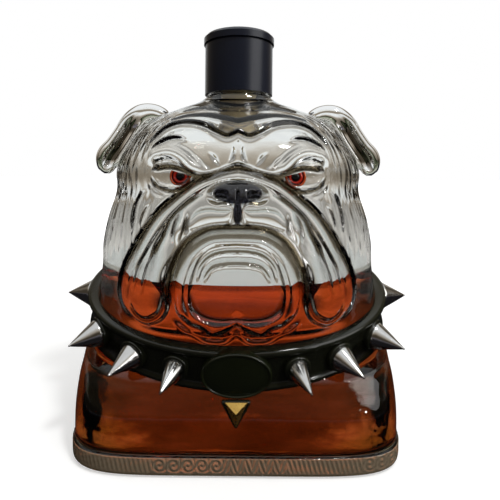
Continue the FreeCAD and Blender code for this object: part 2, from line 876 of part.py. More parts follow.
def stopper_core():
    stem = column("core_stem", "core_radius", "core_length", "neck_top - core_length")
    boss = column("core_boss", "core_boss_radius", "sleeve_web - core_boss_gap", "neck_top")
    hole_depth = "stopper_screw_bite + fit + overrun"
    tools = [column("core_hole", "stopper_screw_radius + fit", hole_depth, screw_foot(" - fit"))]
    for index in range(SEALS):
        floor = seal_base(index) + " - slide_fit"
        room = "seal_thickness + slide_fit * 2"
        ring = column(f"core_room_{index}", "core_radius + overrun", room, floor)
        post = column(f"core_waist_{index}", "core_radius - seal_groove", "overrun", floor)
        tools.append(cut(f"core_groove_{index}", ring, post))
    return cut("core", fused("core_blank", [stem, boss]), *tools)


def screw_foot(less=""):
    """Height of the screw's lower end."""
    return "neck_top + sleeve_web - core_boss_gap - stopper_screw_bite" + less


def stopper_screw():
    shank_length = "stopper_screw_bite + core_boss_gap"
    shank = column("stopper_shank", "stopper_screw_radius", shank_length, screw_foot())
    head_base = "neck_top + sleeve_web"
    head = column("stopper_head", "stopper_screw_head_radius", "stopper_screw_head_height", head_base)
    return fused("stopper_fastener", [shank, head])


def stopper_seal(index):
    floor = seal_base(index)
    outside = column(f"seal_outside_{index}", "bore_radius - slide_fit", "seal_thickness", floor)
    inside_radius = "core_radius - seal_groove + slide_fit"
    inside = column(f"seal_inside_{index}", inside_radius, "overrun", floor)
    return cut(f"seal_{index}", outside, inside)


keep("stopper_sleeve", stopper_sleeve())
keep("stopper_top_disc", stopper_top_disc())
keep("stopper_core", stopper_core())
keep("stopper_screw", stopper_screw())
for index in range(SEALS):
    keep(f"stopper_seal_{index + 1}", stopper_seal(index))


# Check everything, then write one file for each piece.

doc.recompute()
for item in doc.Objects:
    if "Invalid" in item.State or "Error" in item.State:
        raise RuntimeError(f"{item.Name} is not built: {item.State}")
for node, item in PARTS.items():
    if item.Shape.isNull() or not item.Shape.isValid() or not item.Shape.Solids:
        raise RuntimeError(f"{node} is not a valid solid")

os.makedirs("parts", exist_ok=True)
for node, item in PARTS.items():
    item.Shape.exportStep(f"parts/{node}.step")
    print(node, len(item.Shape.Solids), round(item.Shape.Volume))
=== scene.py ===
import math

import bmesh
import bpy
import numpy as np
from mathutils import Matrix, Vector
from mathutils.kdtree import KDTree


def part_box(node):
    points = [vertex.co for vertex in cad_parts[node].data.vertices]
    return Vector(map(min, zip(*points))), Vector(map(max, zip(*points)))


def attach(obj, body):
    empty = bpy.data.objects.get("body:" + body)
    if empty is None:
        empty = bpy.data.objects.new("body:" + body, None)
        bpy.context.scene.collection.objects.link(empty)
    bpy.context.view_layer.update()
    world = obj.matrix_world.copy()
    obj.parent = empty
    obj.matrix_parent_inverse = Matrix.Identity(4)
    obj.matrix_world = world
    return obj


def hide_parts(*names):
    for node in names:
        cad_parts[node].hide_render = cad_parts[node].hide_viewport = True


# A glass bulldog decanter with a spiked collar. Lengths here are millimetres, and meshes are made
# in metres by MM. The face looks along -Y, and the origin is on the table under the neck.

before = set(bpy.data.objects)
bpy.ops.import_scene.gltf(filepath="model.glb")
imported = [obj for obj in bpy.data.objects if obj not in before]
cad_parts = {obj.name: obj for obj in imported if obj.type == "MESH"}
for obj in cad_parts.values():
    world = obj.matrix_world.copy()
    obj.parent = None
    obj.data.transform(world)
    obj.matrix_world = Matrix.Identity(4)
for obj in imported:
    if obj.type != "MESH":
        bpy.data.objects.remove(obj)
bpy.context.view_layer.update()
MM = 0.001

# The main sizes. The CAD model has the same ones, but for its wall, and the collar's height and width.
HALF_WIDTH = 68
HALF_DEPTH = 52
HEAD_HEIGHT = 151.5
WALL = 4.8
SIDE_WALL = 2.4
CHEST_WALL = 2.4
FLOOR_THICKNESS = 6.5
FLOOR_ROUND = 3.5
NECK_RADIUS = 16.5
NECK_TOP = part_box("stopper_sleeve")[0].z / MM
BORE_RADIUS = 10
LIQUOR_LEVEL = 73.5
BASE_BAND_HEIGHT = 7.5
BASE_EDGE = 2
BASE_LEDGE = 0.8
COLLAR_HEIGHT = 53.2
COLLAR_TILT = math.radians(14)
THROAT_HALF_WIDTH = 67
THROAT_HALF_DEPTH = 50
BAND_WIDTH = 17.8
BAND_THICKNESS = 4

# Where the photograph was taken from, and its frame.
PHOTO_SIDE = 500
PHOTO_MIDDLE = 238
PHOTO_HORIZON = 168
PHOTO_FOCAL = 400
EYE_DISTANCE = 203
EYE_HEIGHT = 117
PHOTO_ROLL = math.radians(-0.5)

# Cross-sections of the glass from the table up: share of the height, of the half-width, of the
# half-depth in front and at the back, and the squareness, where 2 is an ellipse.
SECTION_SHARES = np.array([
    (0.000, 1.010, 1.010, 1.000, 6.0),
    (0.060, 1.012, 1.005, 1.000, 6.0),
    (0.130, 1.022, 0.995, 1.000, 5.2),
    (0.185, 1.028, 0.940, 0.990, 4.4),
    (0.220, 1.026, 0.912, 0.985, 3.7),
    (0.270, 1.020, 0.930, 0.985, 2.9),
    (0.320, 1.010, 0.985, 0.990, 2.4),
    (0.365, 0.995, 0.975, 1.000, 2.25),
    (0.420, 0.977, 0.920, 0.995, 2.2),
    (0.470, 0.966, 0.880, 0.970, 2.2),
    (0.540, 0.957, 0.860, 0.945, 2.3),
    (0.620, 0.920, 0.845, 0.920, 2.4),
    (0.700, 0.864, 0.830, 0.890, 2.4),
    (0.770, 0.862, 0.825, 0.860, 2.4),
    (0.840, 0.790, 0.780, 0.805, 2.4),
    (0.900, 0.700, 0.670, 0.700, 2.3),
    (0.940, 0.560, 0.530, 0.560, 2.2),
    (0.965, 0.420, 0.430, 0.440, 2.1),
    (0.985, 0.300, 0.350, 0.355, 2.0),
    (1.000, 0.250, 0.325, 0.325, 2.0),
])

# Broad rounded forms of the face: rise, then share of the half-width across and of the height up,
# half-width and half-height as the same shares, and how flat the top is.
FORM_SHARES = [
    (9.0, 0.00, 0.552, 0.545, 0.200, 4.0),
    (5.5, 0.50, 0.505, 0.165, 0.125, 2.6),
    (4.0, 0.00, 0.490, 0.310, 0.120, 4.0),
    (2.5, 0.00, 0.712, 0.180, 0.050, 2.0),
    (-2.6, 0.36, 0.745, 0.150, 0.030, 2.0),
    (2.4, 0.30, 0.815, 0.300, 0.045, 2.0),
]
# The lips are puffed out from the broad muzzle by about this much more.
LIP_SHARES = (5.0, 0.00, 0.552, 0.500, 0.185, 4.0)
SIDE_FADE_SHARE = 0.22
THROAT_FADE_SHARES = (0.335, 0.375)


def smooth(t):
    t = np.clip(t, 0, 1)
    return t * t * (3 - 2 * t)


def eased(value, start, end):
    """0 before the start and 1 past the end, softly. The end may be the lower of the two."""
    return smooth((value - start) / (end - start))


def section_shares(height_share):
    """Rows of the section table at many heights, on smooth curves through its rows."""
    table = SECTION_SHARES
    share = np.clip(height_share, 0, 1)
    i = np.clip(np.searchsorted(table[:, 0], share, side="right") - 1, 0, len(table) - 2)
    lower, upper = table[i], table[i + 1]
    before, after = table[np.maximum(i - 1, 0)], table[np.minimum(i + 2, len(table) - 1)]
    span = (upper[..., :1] - lower[..., :1])
    t = (share[..., None] - lower[..., :1]) / span
    start = (upper - before) / (upper[..., :1] - before[..., :1]) * span
    end = (after - lower) / (after[..., :1] - lower[..., :1]) * span
    rise = upper - lower
    values = lower + start * t + (3 * rise - 2 * start - end) * t**2 + (start - 2 * rise + end) * t**3
    return np.moveaxis(values[..., 1:], -1, 0)


def broad(across, height, forms=FORM_SHARES):
    """How far the main forms of the face stand out from the plain head."""
    total = np.zeros(np.broadcast(across, height).shape)
    for rise, place, level, half_width, half_height, flatness in forms:
        sideways = np.abs(across / HALF_WIDTH - place) / half_width
        upward = np.abs(height / HEAD_HEIGHT - level) / half_height
        total += rise * np.exp(-(sideways**flatness) - upward**flatness)
    return total * eased(height / HEAD_HEIGHT, *THROAT_FADE_SHARES)


def depth_of_form(across, height):
    """Depth of the face in front of the axis, with its lips but without finer relief."""
    width, depth, _, squareness = section_shares(height / HEAD_HEIGHT)
    beside = np.clip(np.abs(across) / (width * HALF_WIDTH), 0, 0.999)
    plain = depth * HALF_DEPTH * (1 - beside**squareness) ** (1 / squareness)
    forms = FORM_SHARES + [LIP_SHARES]
    return plain + broad(np.abs(across), height, forms) * np.clip((1 - beside) / SIDE_FADE_SHARE, 0, 1)


def to_face(pixels):
    """Places on the face, across and up, that the photograph shows at these pixels."""
    pixels = np.array(pixels, float)
    depth = np.full(len(pixels), float(HALF_DEPTH))
    for _ in range(8):
        scale = (EYE_DISTANCE - depth) / PHOTO_FOCAL
        across = np.abs(pixels[:, 0] - PHOTO_MIDDLE) * scale
        height = EYE_HEIGHT - (pixels[:, 1] - PHOTO_HORIZON) * scale
        depth = depth_of_form(across, height)
    return np.stack([across, height], 1)


def curve(points, steps=6):
    """A smooth line through points."""
    points = np.asarray(points, float)
    ends = np.vstack([2 * points[0] - points[1], points, 2 * points[-1] - points[-2]])
    line = []
    for a, b, c, d in zip(ends, ends[1:], ends[2:], ends[3:]):
        for t in np.arange(steps) / steps:
            bend = (2 * a - 5 * b + 4 * c - d) * t**2 + (3 * b - a - 3 * c + d) * t**3
            line.append(0.5 * (2 * b + (c - a) * t + bend))
    line.append(points[-1])
    return np.array(line)


def nearest(line, across, height):
    """Distance of each place from a line, and the share of the line's length there."""
    lengths = np.hypot(*np.diff(line, axis=0).T)
    starts = np.concatenate([[0], np.cumsum(lengths)])
    best = np.full(across.shape, 1e9)
    share = np.zeros(across.shape)
    for a, b, start, length in zip(line, line[1:], starts, lengths):
        run = b - a
        t = np.clip(((across - a[0]) * run[0] + (height - a[1]) * run[1]) / max(length**2, 1e-9), 0, 1)
        gap = np.hypot(across - a[0] - t * run[0], height - a[1] - t * run[1])
        nearer = gap < best
        best = np.where(nearer, gap, best)
        share = np.where(nearer, (start + t * length) / starts[-1], share)
    return best, share


def inside(line, across, height):
    """Whether each place is inside a closed line."""
    within = np.zeros(across.shape, bool)
    for a, b in zip(line, np.roll(line, -1, axis=0)):
        if a[1] == b[1]:
            continue
        crosses = (a[1] > height) != (b[1] > height)
        within ^= crosses & (across < (b[0] - a[0]) * (height - a[1]) / (b[1] - a[1]) + a[0])
    return within


# Fine relief of the face. Each has pixels of the photograph's left half and sizes in millimetres:
# puffs are closed forms (height, width of the rounded edge); rolls are rounded ridges and creases
# are grooves (height, half-width, share of the length over which each end tapers).
OUTER_FOLD_PIXELS = [
    (238, 169.5), (222, 171), (207, 176), (191, 184), (175, 197), (159, 211), (145, 230), (135, 248),
    (127, 264), (122.5, 280), (122.5, 296), (127.5, 309.5), (139, 321),
]
MOUTH_PIXELS = [
    (169, 311), (168, 295), (170, 277.5), (177, 258), (188, 242), (206, 231.6), (222, 229), (238, 228.5),
]
PUFFS = {
    "upper_lip": (5.4, 8.0, OUTER_FOLD_PIXELS + [(151, 325.5), (163, 322)] + MOUTH_PIXELS),
    "lower_jaw": (5.0, 7.0, [
        (238, 232), (222, 232), (207, 234.5), (191, 244.5), (180.5, 259.5), (174, 278), (172, 291),
        (173, 303), (177.5, 317), (189, 327.5), (202, 332.5), (214, 336.5), (227, 335.5), (238, 330.5),
    ]),
    "mouth": (-2.6, 2.6, [
        (238, 245), (222, 246), (209, 250), (199.5, 259), (194, 271), (190, 286), (189.5, 300),
        (193, 313), (203, 321), (220, 325), (238, 323),
    ]),
    "nose": (3.8, 3.6, [
        (238, 180.5), (226, 181.5), (215, 185), (208.5, 190.5), (206.8, 196), (209.5, 201.5),
        (217, 204.5), (225, 203.5), (230, 205.5), (233, 211), (233, 220), (230, 227), (238, 229),
    ]),
    "pad": (1.8, 3.4, [
        (233, 209), (221, 209), (208, 208), (198, 211), (191, 220), (190, 230), (200, 229.5),
        (214, 226), (226, 224), (231, 219),
    ]),
}
OPEN_PUFFS = {"pad"}
ROLLS = {
    "nose_roll": (2.2, 2.1, 0.2, [
        (238, 174), (224, 175.5), (210, 180), (194, 189), (178, 202.5), (163, 218.5), (151, 237),
        (142, 255), (136, 272),
    ]),
    "brow": (3.6, 3.3, 0.25, [
        (150, 168), (152.5, 159), (161, 152.5), (173, 152), (183, 156.5), (192, 164.5), (201, 170.5),
        (212, 172.5),
    ]),
    "lower_lip": (1.9, 1.9, 0.12, [
        (238, 238.5), (222, 238.8), (210, 241), (197, 249.5), (187.5, 262), (181.5, 279), (179.5, 292),
        (180.5, 303), (184.5, 314), (193, 322),
    ]),
    "mouth_arch": (1.2, 0.8, 0.15, [(238, 254.5), (222, 255.5), (210, 260), (201, 270), (196.5, 286)]),
    "mouth_inner_arch": (1.0, 0.8, 0.15, [(238, 267), (224, 268), (212, 272), (203, 286)]),
    "jaw_roll": (1.3, 1.2, 0.15, [
        (172, 322), (186, 333.5), (203, 339.5), (216, 342), (228, 340.5), (238, 336.5),
    ]),
    "fang": (2.0, 1.7, 0.5, [(185.5, 210), (181.5, 222), (178.5, 236), (177.5, 248)]),
    "lower_lid": (1.0, 1.0, 0.3, [(152, 176), (158, 185), (168, 188.5), (180, 187.5), (191, 182)]),
}
CREASES = {
    "outer_fold": (-2.2, 1.0, 0.1, OUTER_FOLD_PIXELS[1:]),
    "inner_fold": (-1.8, 0.8, 0.2, [
        (209, 191), (196, 196.5), (183, 206), (172, 218), (166, 232), (158, 246), (152, 262),
    ]),
    "mouth_line": (-1.8, 1.1, 0.1, MOUTH_PIXELS),
    "brow_under": (-3.2, 1.0, 0.1, [
        (150.5, 171.5), (160, 168), (170, 167), (179, 169), (189, 174), (198, 177), (209, 176.5),
        (221, 172.5), (232, 168), (238, 166.5),
    ]),
    "brow_upper": (-1.6, 1.0, 0.25, [
        (148, 160), (155, 150.5), (165, 146.5), (176, 147.5), (187, 154), (196, 162.5), (206, 169.5),
    ]),
    "forehead_low": (-1.9, 0.9, 0.3, [(150, 152), (157, 145.5), (167, 141), (178, 139.5), (190, 141.5)]),
    "forehead": (-2.0, 1.1, 0.15, [
        (148, 148), (156, 137.5), (168, 128), (184, 123.7), (201, 126), (215, 133), (227, 137.4),
        (238, 133),
    ]),
    "forehead_top": (-1.0, 1.0, 0.3, [(165, 124), (180, 118.5), (200, 116.5), (218, 119), (238, 123)]),
    "crown": (-0.7, 1.0, 0.4, [(175, 114.5), (195, 110.5), (215, 110), (229, 114)]),
    "frown": (-1.0, 0.7, 0.45, [(233, 145.5), (233.5, 152), (232, 158), (227, 165)]),
    "frown_side": (-0.7, 0.7, 0.5, [(206, 152), (212, 156), (218, 163), (221, 168)]),
    "lid": (-1.9, 0.8, 0.2, [
        (150, 175), (156, 187), (168, 191.5), (180, 190.5), (190, 185.5), (198, 178.5),
    ]),
    "eye_bag": (-1.0, 0.7, 0.4, [(146, 181), (154, 193), (166, 198)]),
    "cheek": (-1.6, 0.8, 0.3, [(149, 190), (141, 196), (136, 208), (133.5, 222), (133, 238)]),
    "cheek_inner": (-1.0, 0.7, 0.4, [(152, 203), (145, 212), (141, 225), (143, 236)]),
    "fang_outside": (-1.3, 0.6, 0.3, [(182, 210), (176, 224), (172.5, 244)]),
    "fang_inside": (-1.3, 0.6, 0.3, [(189, 212), (187.5, 226), (186.5, 238)]),
    "nostril": (-3.0, 1.3, 0.3, [(213.5, 196.5), (218, 194), (224, 194), (229, 198)]),
    "nose_split": (-1.2, 0.55, 0.2, [(238, 184), (238, 228)]),
    "chin_cleft": (-1.6, 2.2, 0.5, [(238, 312), (238, 340)]),
    "jowl_lobe": (-1.2, 0.8, 0.2, [
        (134.5, 293), (136.5, 307), (144, 316.5), (152, 318), (160, 313.5), (163.5, 304), (163.5, 292),
    ]),
    "jowl_a": (-1.0, 0.7, 0.4, [(170, 221), (161, 243), (154, 266), (150, 288)]),
    "jowl_b": (-0.9, 0.7, 0.4, [(175, 252), (167, 270), (162, 290)]),
    "jowl_c": (-0.9, 0.7, 0.4, [(163, 238), (152, 262), (146, 284), (145, 298)]),
    "jowl_d": (-0.9, 0.7, 0.4, [(150, 250), (141, 270), (137, 290)]),
    "jowl_e": (-0.7, 0.6, 0.4, [(140, 262), (133, 280), (131.5, 298)]),
}

# How wide a line stays at its thin ends.
THIN_SHARE = 0.4
# Painted shade: how dark the glass is coloured in the creases, and how far that spreads past their width.
SHADE_SHARES = {
    "outer_fold": 1.5, "mouth_line": 1.6, "inner_fold": 1.1, "brow_under": 1.6, "lid": 1.4,
    "eye_bag": 0.7, "fang_outside": 0.9, "fang_inside": 0.9, "nostril": 1.5, "nose_split": 1.2,
    "jowl_lobe": 0.8, "frown": 0.8, "cheek": 0.6,
}
FAINT_SHADE_SHARE = 0.4
SHADE_SPREAD = 1.3


def near_box(line, margin, across, height):
    """The places close enough to a line to matter."""
    low, high = line.min(0) - margin, line.max(0) + margin
    return (across > low[0]) & (across < high[0]) & (height > low[1]) & (height < high[1])


def closed_line(name, pixels):
    """A closed form's outline. One that starts and ends in the middle takes in both halves."""
    line = curve(to_face(pixels))
    if name in OPEN_PUFFS:
        return line
    return np.vstack([line, line[::-1] * (-1, 1)])


def crosses_middle(end, before):
    """Whether a line's end runs on into its mirror image."""
    return abs(end[0] - PHOTO_MIDDLE) < 1 < abs(before[0] - PHOTO_MIDDLE)


def puffed(across, height):
    """How far the closed forms of the face stand out."""
    total = np.zeros(across.shape)
    for name, (rise, edge, pixels) in PUFFS.items():
        line = closed_line(name, pixels)
        where = near_box(line, edge, across, height)
        x, z = across[where], height[where]
        gap = nearest(np.vstack([line, line[:1]]), x, z)[0]
        t = np.clip(gap / edge, 0, 1)
        total[where] += rise * np.sqrt(1 - (1 - t) ** 2) * inside(line, x, z)
    return total


def tapered(share, taper, pixels):
    """How full a line is along its length: it thins out at each end that isn't in the middle."""
    full = np.ones(share.shape)
    if not crosses_middle(pixels[0], pixels[1]):
        full *= smooth(share / taper)
    if not crosses_middle(pixels[-1], pixels[-2]):
        full *= smooth((1 - share) / taper)
    return full


def lined(across, height):
    """How far rolls stand out and creases go in, and how much shade is painted there."""
    total, dark = np.zeros(across.shape), np.zeros(across.shape)
    for name, (rise, half_width, taper, pixels) in {**ROLLS, **CREASES}.items():
        line = curve(to_face(pixels))
        where = near_box(line, half_width * 3, across, height)
        gap, share = nearest(line, across[where], height[where])
        full = tapered(share, taper, pixels)
        gap = gap / (half_width * (THIN_SHARE + (1 - THIN_SHARE) * full))
        if name in ROLLS:
            total[where] += rise * full * np.sqrt(np.clip(1 - gap**2, 0, 1))
        else:
            total[where] += rise * full * np.exp(-(gap**2))
            shade = SHADE_SHARES.get(name, FAINT_SHADE_SHARE)
            dark[where] += shade * full * np.exp(-((gap / SHADE_SPREAD) ** 2))
    return total, np.clip(dark, 0, 1)


# Fur: strands round the head, lean, waviness, start and height of each set of lines, and how fast
# the waves go up and round.
FUR_LINES = [
    (61, 0.210, 2.1, 0.3, 0.16),
    (97, -0.132, 3.3, 1.7, 0.12),
    (149, 0.168, 2.7, 4.1, 0.08),
]
FUR_WAVES_UP = 0.11
FUR_WAVES_ROUND = 5
FUR_LEVEL = 0.6
# Where fur is: it comes in over these heights or places across, or as the glass turns to the back.
CHEEK_FUR_LOW = (72, 86)
CHEEK_FUR_HIGH = (HEAD_HEIGHT - 3, HEAD_HEIGHT - 13)
CHEEK_FUR_ASIDE = (26, 42)
BACK_FUR_LOW = (BASE_BAND_HEIGHT + 2, BASE_BAND_HEIGHT + 8)
BACK_FUR_HIGH = (52, 40)
BACK_FUR_TURN = (0, 0.4)


def fur(turn, x, z):
    """Soft lines of fur that run down the cheeks, the sides of the head and the back."""
    lines = np.zeros(x.shape)
    for count, lean, wave, start, size in FUR_LINES:
        path = turn * count + lean * z + wave * np.sin(z * FUR_WAVES_UP + start + turn * FUR_WAVES_ROUND)
        lines += size * (np.abs(np.sin(path / 2)) - FUR_LEVEL)
    cheek = eased(z, *CHEEK_FUR_LOW) * eased(z, *CHEEK_FUR_HIGH) * eased(np.abs(x), *CHEEK_FUR_ASIDE)
    back = eased(np.sin(turn), *BACK_FUR_TURN) * eased(z, *BACK_FUR_LOW) * eased(z, *BACK_FUR_HIGH)
    return lines * (cheek + back)


# Columns round the glass, closest together on the face, and rows from the table to the neck.
FRONT_COLUMNS = 560
BACK_COLUMNS = 160
FACE_ROW_STEP = 0.42
CHEST_ROW_STEP = 0.9
BAND_ROW_STEP = 0.3
FACE_SHARE = 0.62
FACE_BOTTOM = 48
CHEST_TOP = 50
FACE_TOP = 134
# Rows over the ledge above the base band: height from the band's top, and inset.
LEDGE_ROWS = [(-0.15, 0.1), (0.0, 0.4), (0.15, BASE_LEDGE)]
# A flat end has rings close to its rim, so that it shades flat.
CAP_INSETS = (20, 1, 0)
# The row that the ornament is measured along.
BASE_EDGE_ROW = len(CAP_INSETS)
# The collar's groove in the glass comes in over this length.
GROOVE_BLEND = 4
# Ornament of the base band: length of a cell, height of its lines and cells of a kind in a row.
ORNAMENT_PITCH = 5.2
ORNAMENT_RISE = 0.11
CELLS_IN_A_ROW = 5
# The neck's rounded rings.
NECK_ROWS = 26
NECK_RINGS = 3
NECK_RING_RISE = 0.95
NECK_RING_POWER = 0.7
NECK_HOLLOW = 1.15


def column_turns():
    front = np.linspace(-1, 1, FRONT_COLUMNS, endpoint=False)
    front = math.pi / 2 * (3 + FACE_SHARE * front + (1 - FACE_SHARE) * front**3)
    back = np.linspace(0, math.pi, BACK_COLUMNS, endpoint=False)
    return np.concatenate([front, back])


def full_turn(count):
    return np.linspace(0, 2 * math.pi, count, endpoint=False)


def stacked(x, y, z):
    """Points out of coordinates, any of which may be one number."""
    return np.stack(np.broadcast_arrays(x, y, z), -1)


def circle(turn, radius, level):
    return stacked(radius * np.cos(turn), radius * np.sin(turn), level)


def oval(turn, half_width, half_depth, squareness):
    """A rounded oval: an ellipse where the squareness is 2."""
    across, along = np.abs(np.cos(turn)) / half_width, np.abs(np.sin(turn)) / half_depth
    reach = (across**squareness + along**squareness) ** (-1 / squareness)
    return reach * np.cos(turn), reach * np.sin(turn)


def face_fade(x, half_width, turn):
    """1 on the face, falling to 0 at the sides of the head and at the back."""
    return np.clip((1 - np.abs(x) / half_width) / SIDE_FADE_SHARE, 0, 1) * (np.sin(turn) < 0)


def plain_ring(height, inset):
    """Rings of the plain glass: across, along, the outward direction and the fade of the face."""
    turn = column_turns()[None, :]
    width, depth, back, squareness = (v[:, None] for v in section_shares(height / HEAD_HEIGHT))
    half_width = width * HALF_WIDTH - inset[:, None]
    half_depth = np.where(np.sin(turn) < 0, depth, back) * HALF_DEPTH - inset[:, None]
    x, y = oval(turn, half_width, half_depth, squareness)
    slope_x = np.sign(x) * (np.abs(x) / half_width) ** (squareness - 1) / half_width
    slope_y = np.sign(y) * (np.abs(y) / half_depth) ** (squareness - 1) / half_depth
    length = np.hypot(slope_x, slope_y)
    return x, y, slope_x / length, slope_y / length, face_fade(x, half_width, turn)


def blurred(field):
    field = (np.roll(field, 1, 1) + 2 * field + np.roll(field, -1, 1)) / 4
    field[1:-1] = (field[:-2] + 2 * field[1:-1] + field[2:]) / 4
    return field


def in_collar(x, y, z):
    """Coordinates in the tilted collar's own frame."""
    up = z - COLLAR_HEIGHT
    cosine, sine = math.cos(COLLAR_TILT), math.sin(COLLAR_TILT)
    return x, y * cosine + up * sine, -y * sine + up * cosine


def from_collar(x, y, z):
    cosine, sine = math.cos(COLLAR_TILT), math.sin(COLLAR_TILT)
    return x, y * cosine - z * sine, COLLAR_HEIGHT + y * sine + z * cosine


def grooved(x, y, z):
    """Draws the glass in to the throat where the collar goes round it."""
    across, along, up = in_collar(x, y, z)
    reach = np.hypot(across / THROAT_HALF_WIDTH, along / THROAT_HALF_DEPTH)
    under = smooth((BAND_WIDTH / 2 - np.abs(up)) / GROOVE_BLEND) * (reach > 1)
    factor = 1 + under * (1 / reach - 1)
    return from_collar(across * factor, along * factor, up)


def ornament(run, height):
    """Raised and sunk lines round the base band: scrolls, chevrons and slanted strokes by turns."""
    middle = (BASE_EDGE + BASE_BAND_HEIGHT) / 2
    up = (height - middle) / ((BASE_BAND_HEIGHT - BASE_EDGE) / 2)
    cell = np.floor(run / ORNAMENT_PITCH)
    t = run / ORNAMENT_PITCH - cell - 0.5
    scroll = np.cos(9 * np.hypot(t * 2.1, up * 0.95) - np.arctan2(up, t * 2))
    chevron = np.cos(2 * math.pi * (2 * np.abs(t) + up * 0.35) * 1.5)
    stroke = np.cos(2 * math.pi * (t * 3 + up * 0.4))
    lines = np.choose((cell // CELLS_IN_A_ROW % 3).astype(int), [scroll, chevron, stroke])
    worked = (height > BASE_EDGE) & (height < BASE_BAND_HEIGHT)
    return ORNAMENT_RISE * np.clip(lines * 1.6, -1, 1) * smooth((1 - np.abs(up)) / 0.2) * worked


def grid_faces(rows, columns):
    """Four-cornered faces over closed rings of points."""
    row, column = np.meshgrid(np.arange(rows - 1), np.arange(columns), indexing="ij")
    following = (column + 1) % columns
    return np.stack([
        row * columns + column,
        row * columns + following,
        (row + 1) * columns + following,
        (row + 1) * columns + column,
    ], -1).reshape(-1, 4)


def new_piece(name, points, faces):
    mesh = bpy.data.meshes.new(name)
    mesh.from_pydata((points * MM).tolist(), [], faces)
    piece = bpy.data.objects.new(name, mesh)
    bpy.context.scene.collection.objects.link(piece)
    return piece


def closed_mesh(name, rings):
    """An object over rings of points from the bottom up, its ends closed by fans."""
    rings = np.asarray(rings, float)
    rows, columns = rings.shape[:2]
    points = np.vstack([rings.reshape(-1, 3), rings[0].mean(0), rings[-1].mean(0)])
    around = np.arange(columns)
    following = (around + 1) % columns
    low = np.stack([following, around, np.full(columns, rows * columns)], 1)
    top = (rows - 1) * columns
    high = np.stack([top + around, top + following, np.full(columns, rows * columns + 1)], 1)
    piece = new_piece(name, points, grid_faces(rows, columns).tolist() + low.tolist() + high.tolist())
    piece.data.validate()
    return piece


def add_shade(piece, shade):
    """Stores the shade painted at each point. Points past the given ones stay clear."""
    values = np.zeros(len(piece.data.vertices))
    values[:shade.size] = shade.ravel()
    piece.data.attributes.new("painted_shade", "FLOAT", "POINT").data.foreach_set("value", values)


def quarter_round(radius, start_share, count):
    """Heights and insets of the rows up a rounded lower edge."""
    turns = np.linspace(start_share, 1, count) * math.pi / 2
    return [(radius * (1 - math.cos(t)), radius * (1 - math.sin(t))) for t in turns]


def glass_rows():
    """Heights and insets of the outer rows."""
    rows = [(0.0, BASE_EDGE + inset) for inset in CAP_INSETS] + quarter_round(BASE_EDGE, 0.15, 6)
    step = BAND_ROW_STEP
    rows += [(z, 0.0) for z in np.arange(BASE_EDGE + step, BASE_BAND_HEIGHT - step, step)]
    rows += [(BASE_BAND_HEIGHT + up, inset) for up, inset in LEDGE_ROWS]
    for z in np.arange(BASE_BAND_HEIGHT + BASE_LEDGE, CHEST_TOP, CHEST_ROW_STEP):
        rows.append((z, BASE_LEDGE * (1 - z / CHEST_TOP)))
    rows += [(z, 0.0) for z in np.arange(CHEST_TOP, FACE_TOP, FACE_ROW_STEP)]
    for t in np.linspace(0, math.pi / 2, 46)[:-3]:
        rows.append((FACE_TOP + (HEAD_HEIGHT - FACE_TOP) * math.sin(t), 0.0))
    return np.array(rows)


def neck_rings(start):
    """The ringed neck from a height up to the stopper."""
    rings = []
    for t in np.linspace(0, 1, NECK_ROWS):
        rise = NECK_RING_RISE * abs(math.sin(math.pi * NECK_RINGS * t)) ** NECK_RING_POWER
        level = start + (NECK_TOP - start) * t
        rings.append(circle(column_turns(), NECK_RADIUS - NECK_HOLLOW + rise, level))
    return rings


def glass_outside():
    """The sculpted outside of the glass, closed over the neck."""
    height, inset = glass_rows().T
    x, y, out_x, out_y, fade = plain_ring(height, inset)
    z = np.repeat(height[:, None], x.shape[1], 1)
    carved, dark = np.zeros(x.shape), np.zeros(x.shape)
    on_face = (fade > 0) & (z > FACE_BOTTOM) & (z < HEAD_HEIGHT)
    across, up = np.abs(x[on_face]), z[on_face]
    relief, shade = lined(across, up)
    carved[on_face] = (puffed(across, up) + relief) * fade[on_face]
    dark[on_face] = shade * fade[on_face]
    y = y - broad(np.abs(x), z) * fade - blurred(carved)
    edge = BASE_EDGE_ROW
    steps = np.hypot(np.diff(x[edge], append=x[edge, :1]), np.diff(y[edge], append=y[edge, :1]))
    out = fur(column_turns()[None, :], x, z) + ornament(np.cumsum(steps)[None, :], z)
    rings = stacked(*grooved(x + out_x * out, y + out_y * out, z))
    piece = closed_mesh("glass", list(rings) + neck_rings(rings[-1, 0, 2]))
    # The creases carry painted shade: the glass is coloured darker there.
    add_shade(piece, dark)
    return piece


# The inside of the glass follows the main forms, a wall away. The wall grows from the chest to the
# head, but not at the sides up to a height. The crown inside is lower than outside.
INNER_COLUMNS = 180
INNER_ROW_STEP = 1.5
WALL_CHANGE = (40, 60)
SLIM_SIDE_TOP = (112, 100)
HOLLOW_SHOULDER = 132
HOLLOW_CROWN = 13.2
CROWN_START = 120
CROWN_LIFT_SHARE = 0.18
BORE_STEP = 1.2
CUT_OVERRUN = 2


def hollow_ring(level, inset):
    """A ring of the cavity, a wall and a further inset away from the outside."""
    turn = full_turn(INNER_COLUMNS)
    upper = eased(level, *WALL_CHANGE)
    wall = CHEST_WALL + (WALL - CHEST_WALL) * upper + inset
    slimmer = (WALL - SIDE_WALL) * upper * eased(level, *SLIM_SIDE_TOP)
    lifted = min(level + max(0, level - CROWN_START) * CROWN_LIFT_SHARE, HEAD_HEIGHT)
    width, depth, back, squareness = (v[0] for v in section_shares(np.array([lifted / HEAD_HEIGHT])))
    half_width = max(width * HALF_WIDTH - wall + slimmer, BORE_RADIUS)
    half_depth = np.maximum(np.where(np.sin(turn) < 0, depth, back) * HALF_DEPTH - wall, BORE_RADIUS)
    x, y = oval(turn, half_width, half_depth, squareness)
    return stacked(x, y - broad(np.abs(x), level) * face_fade(x, half_width, turn), level)


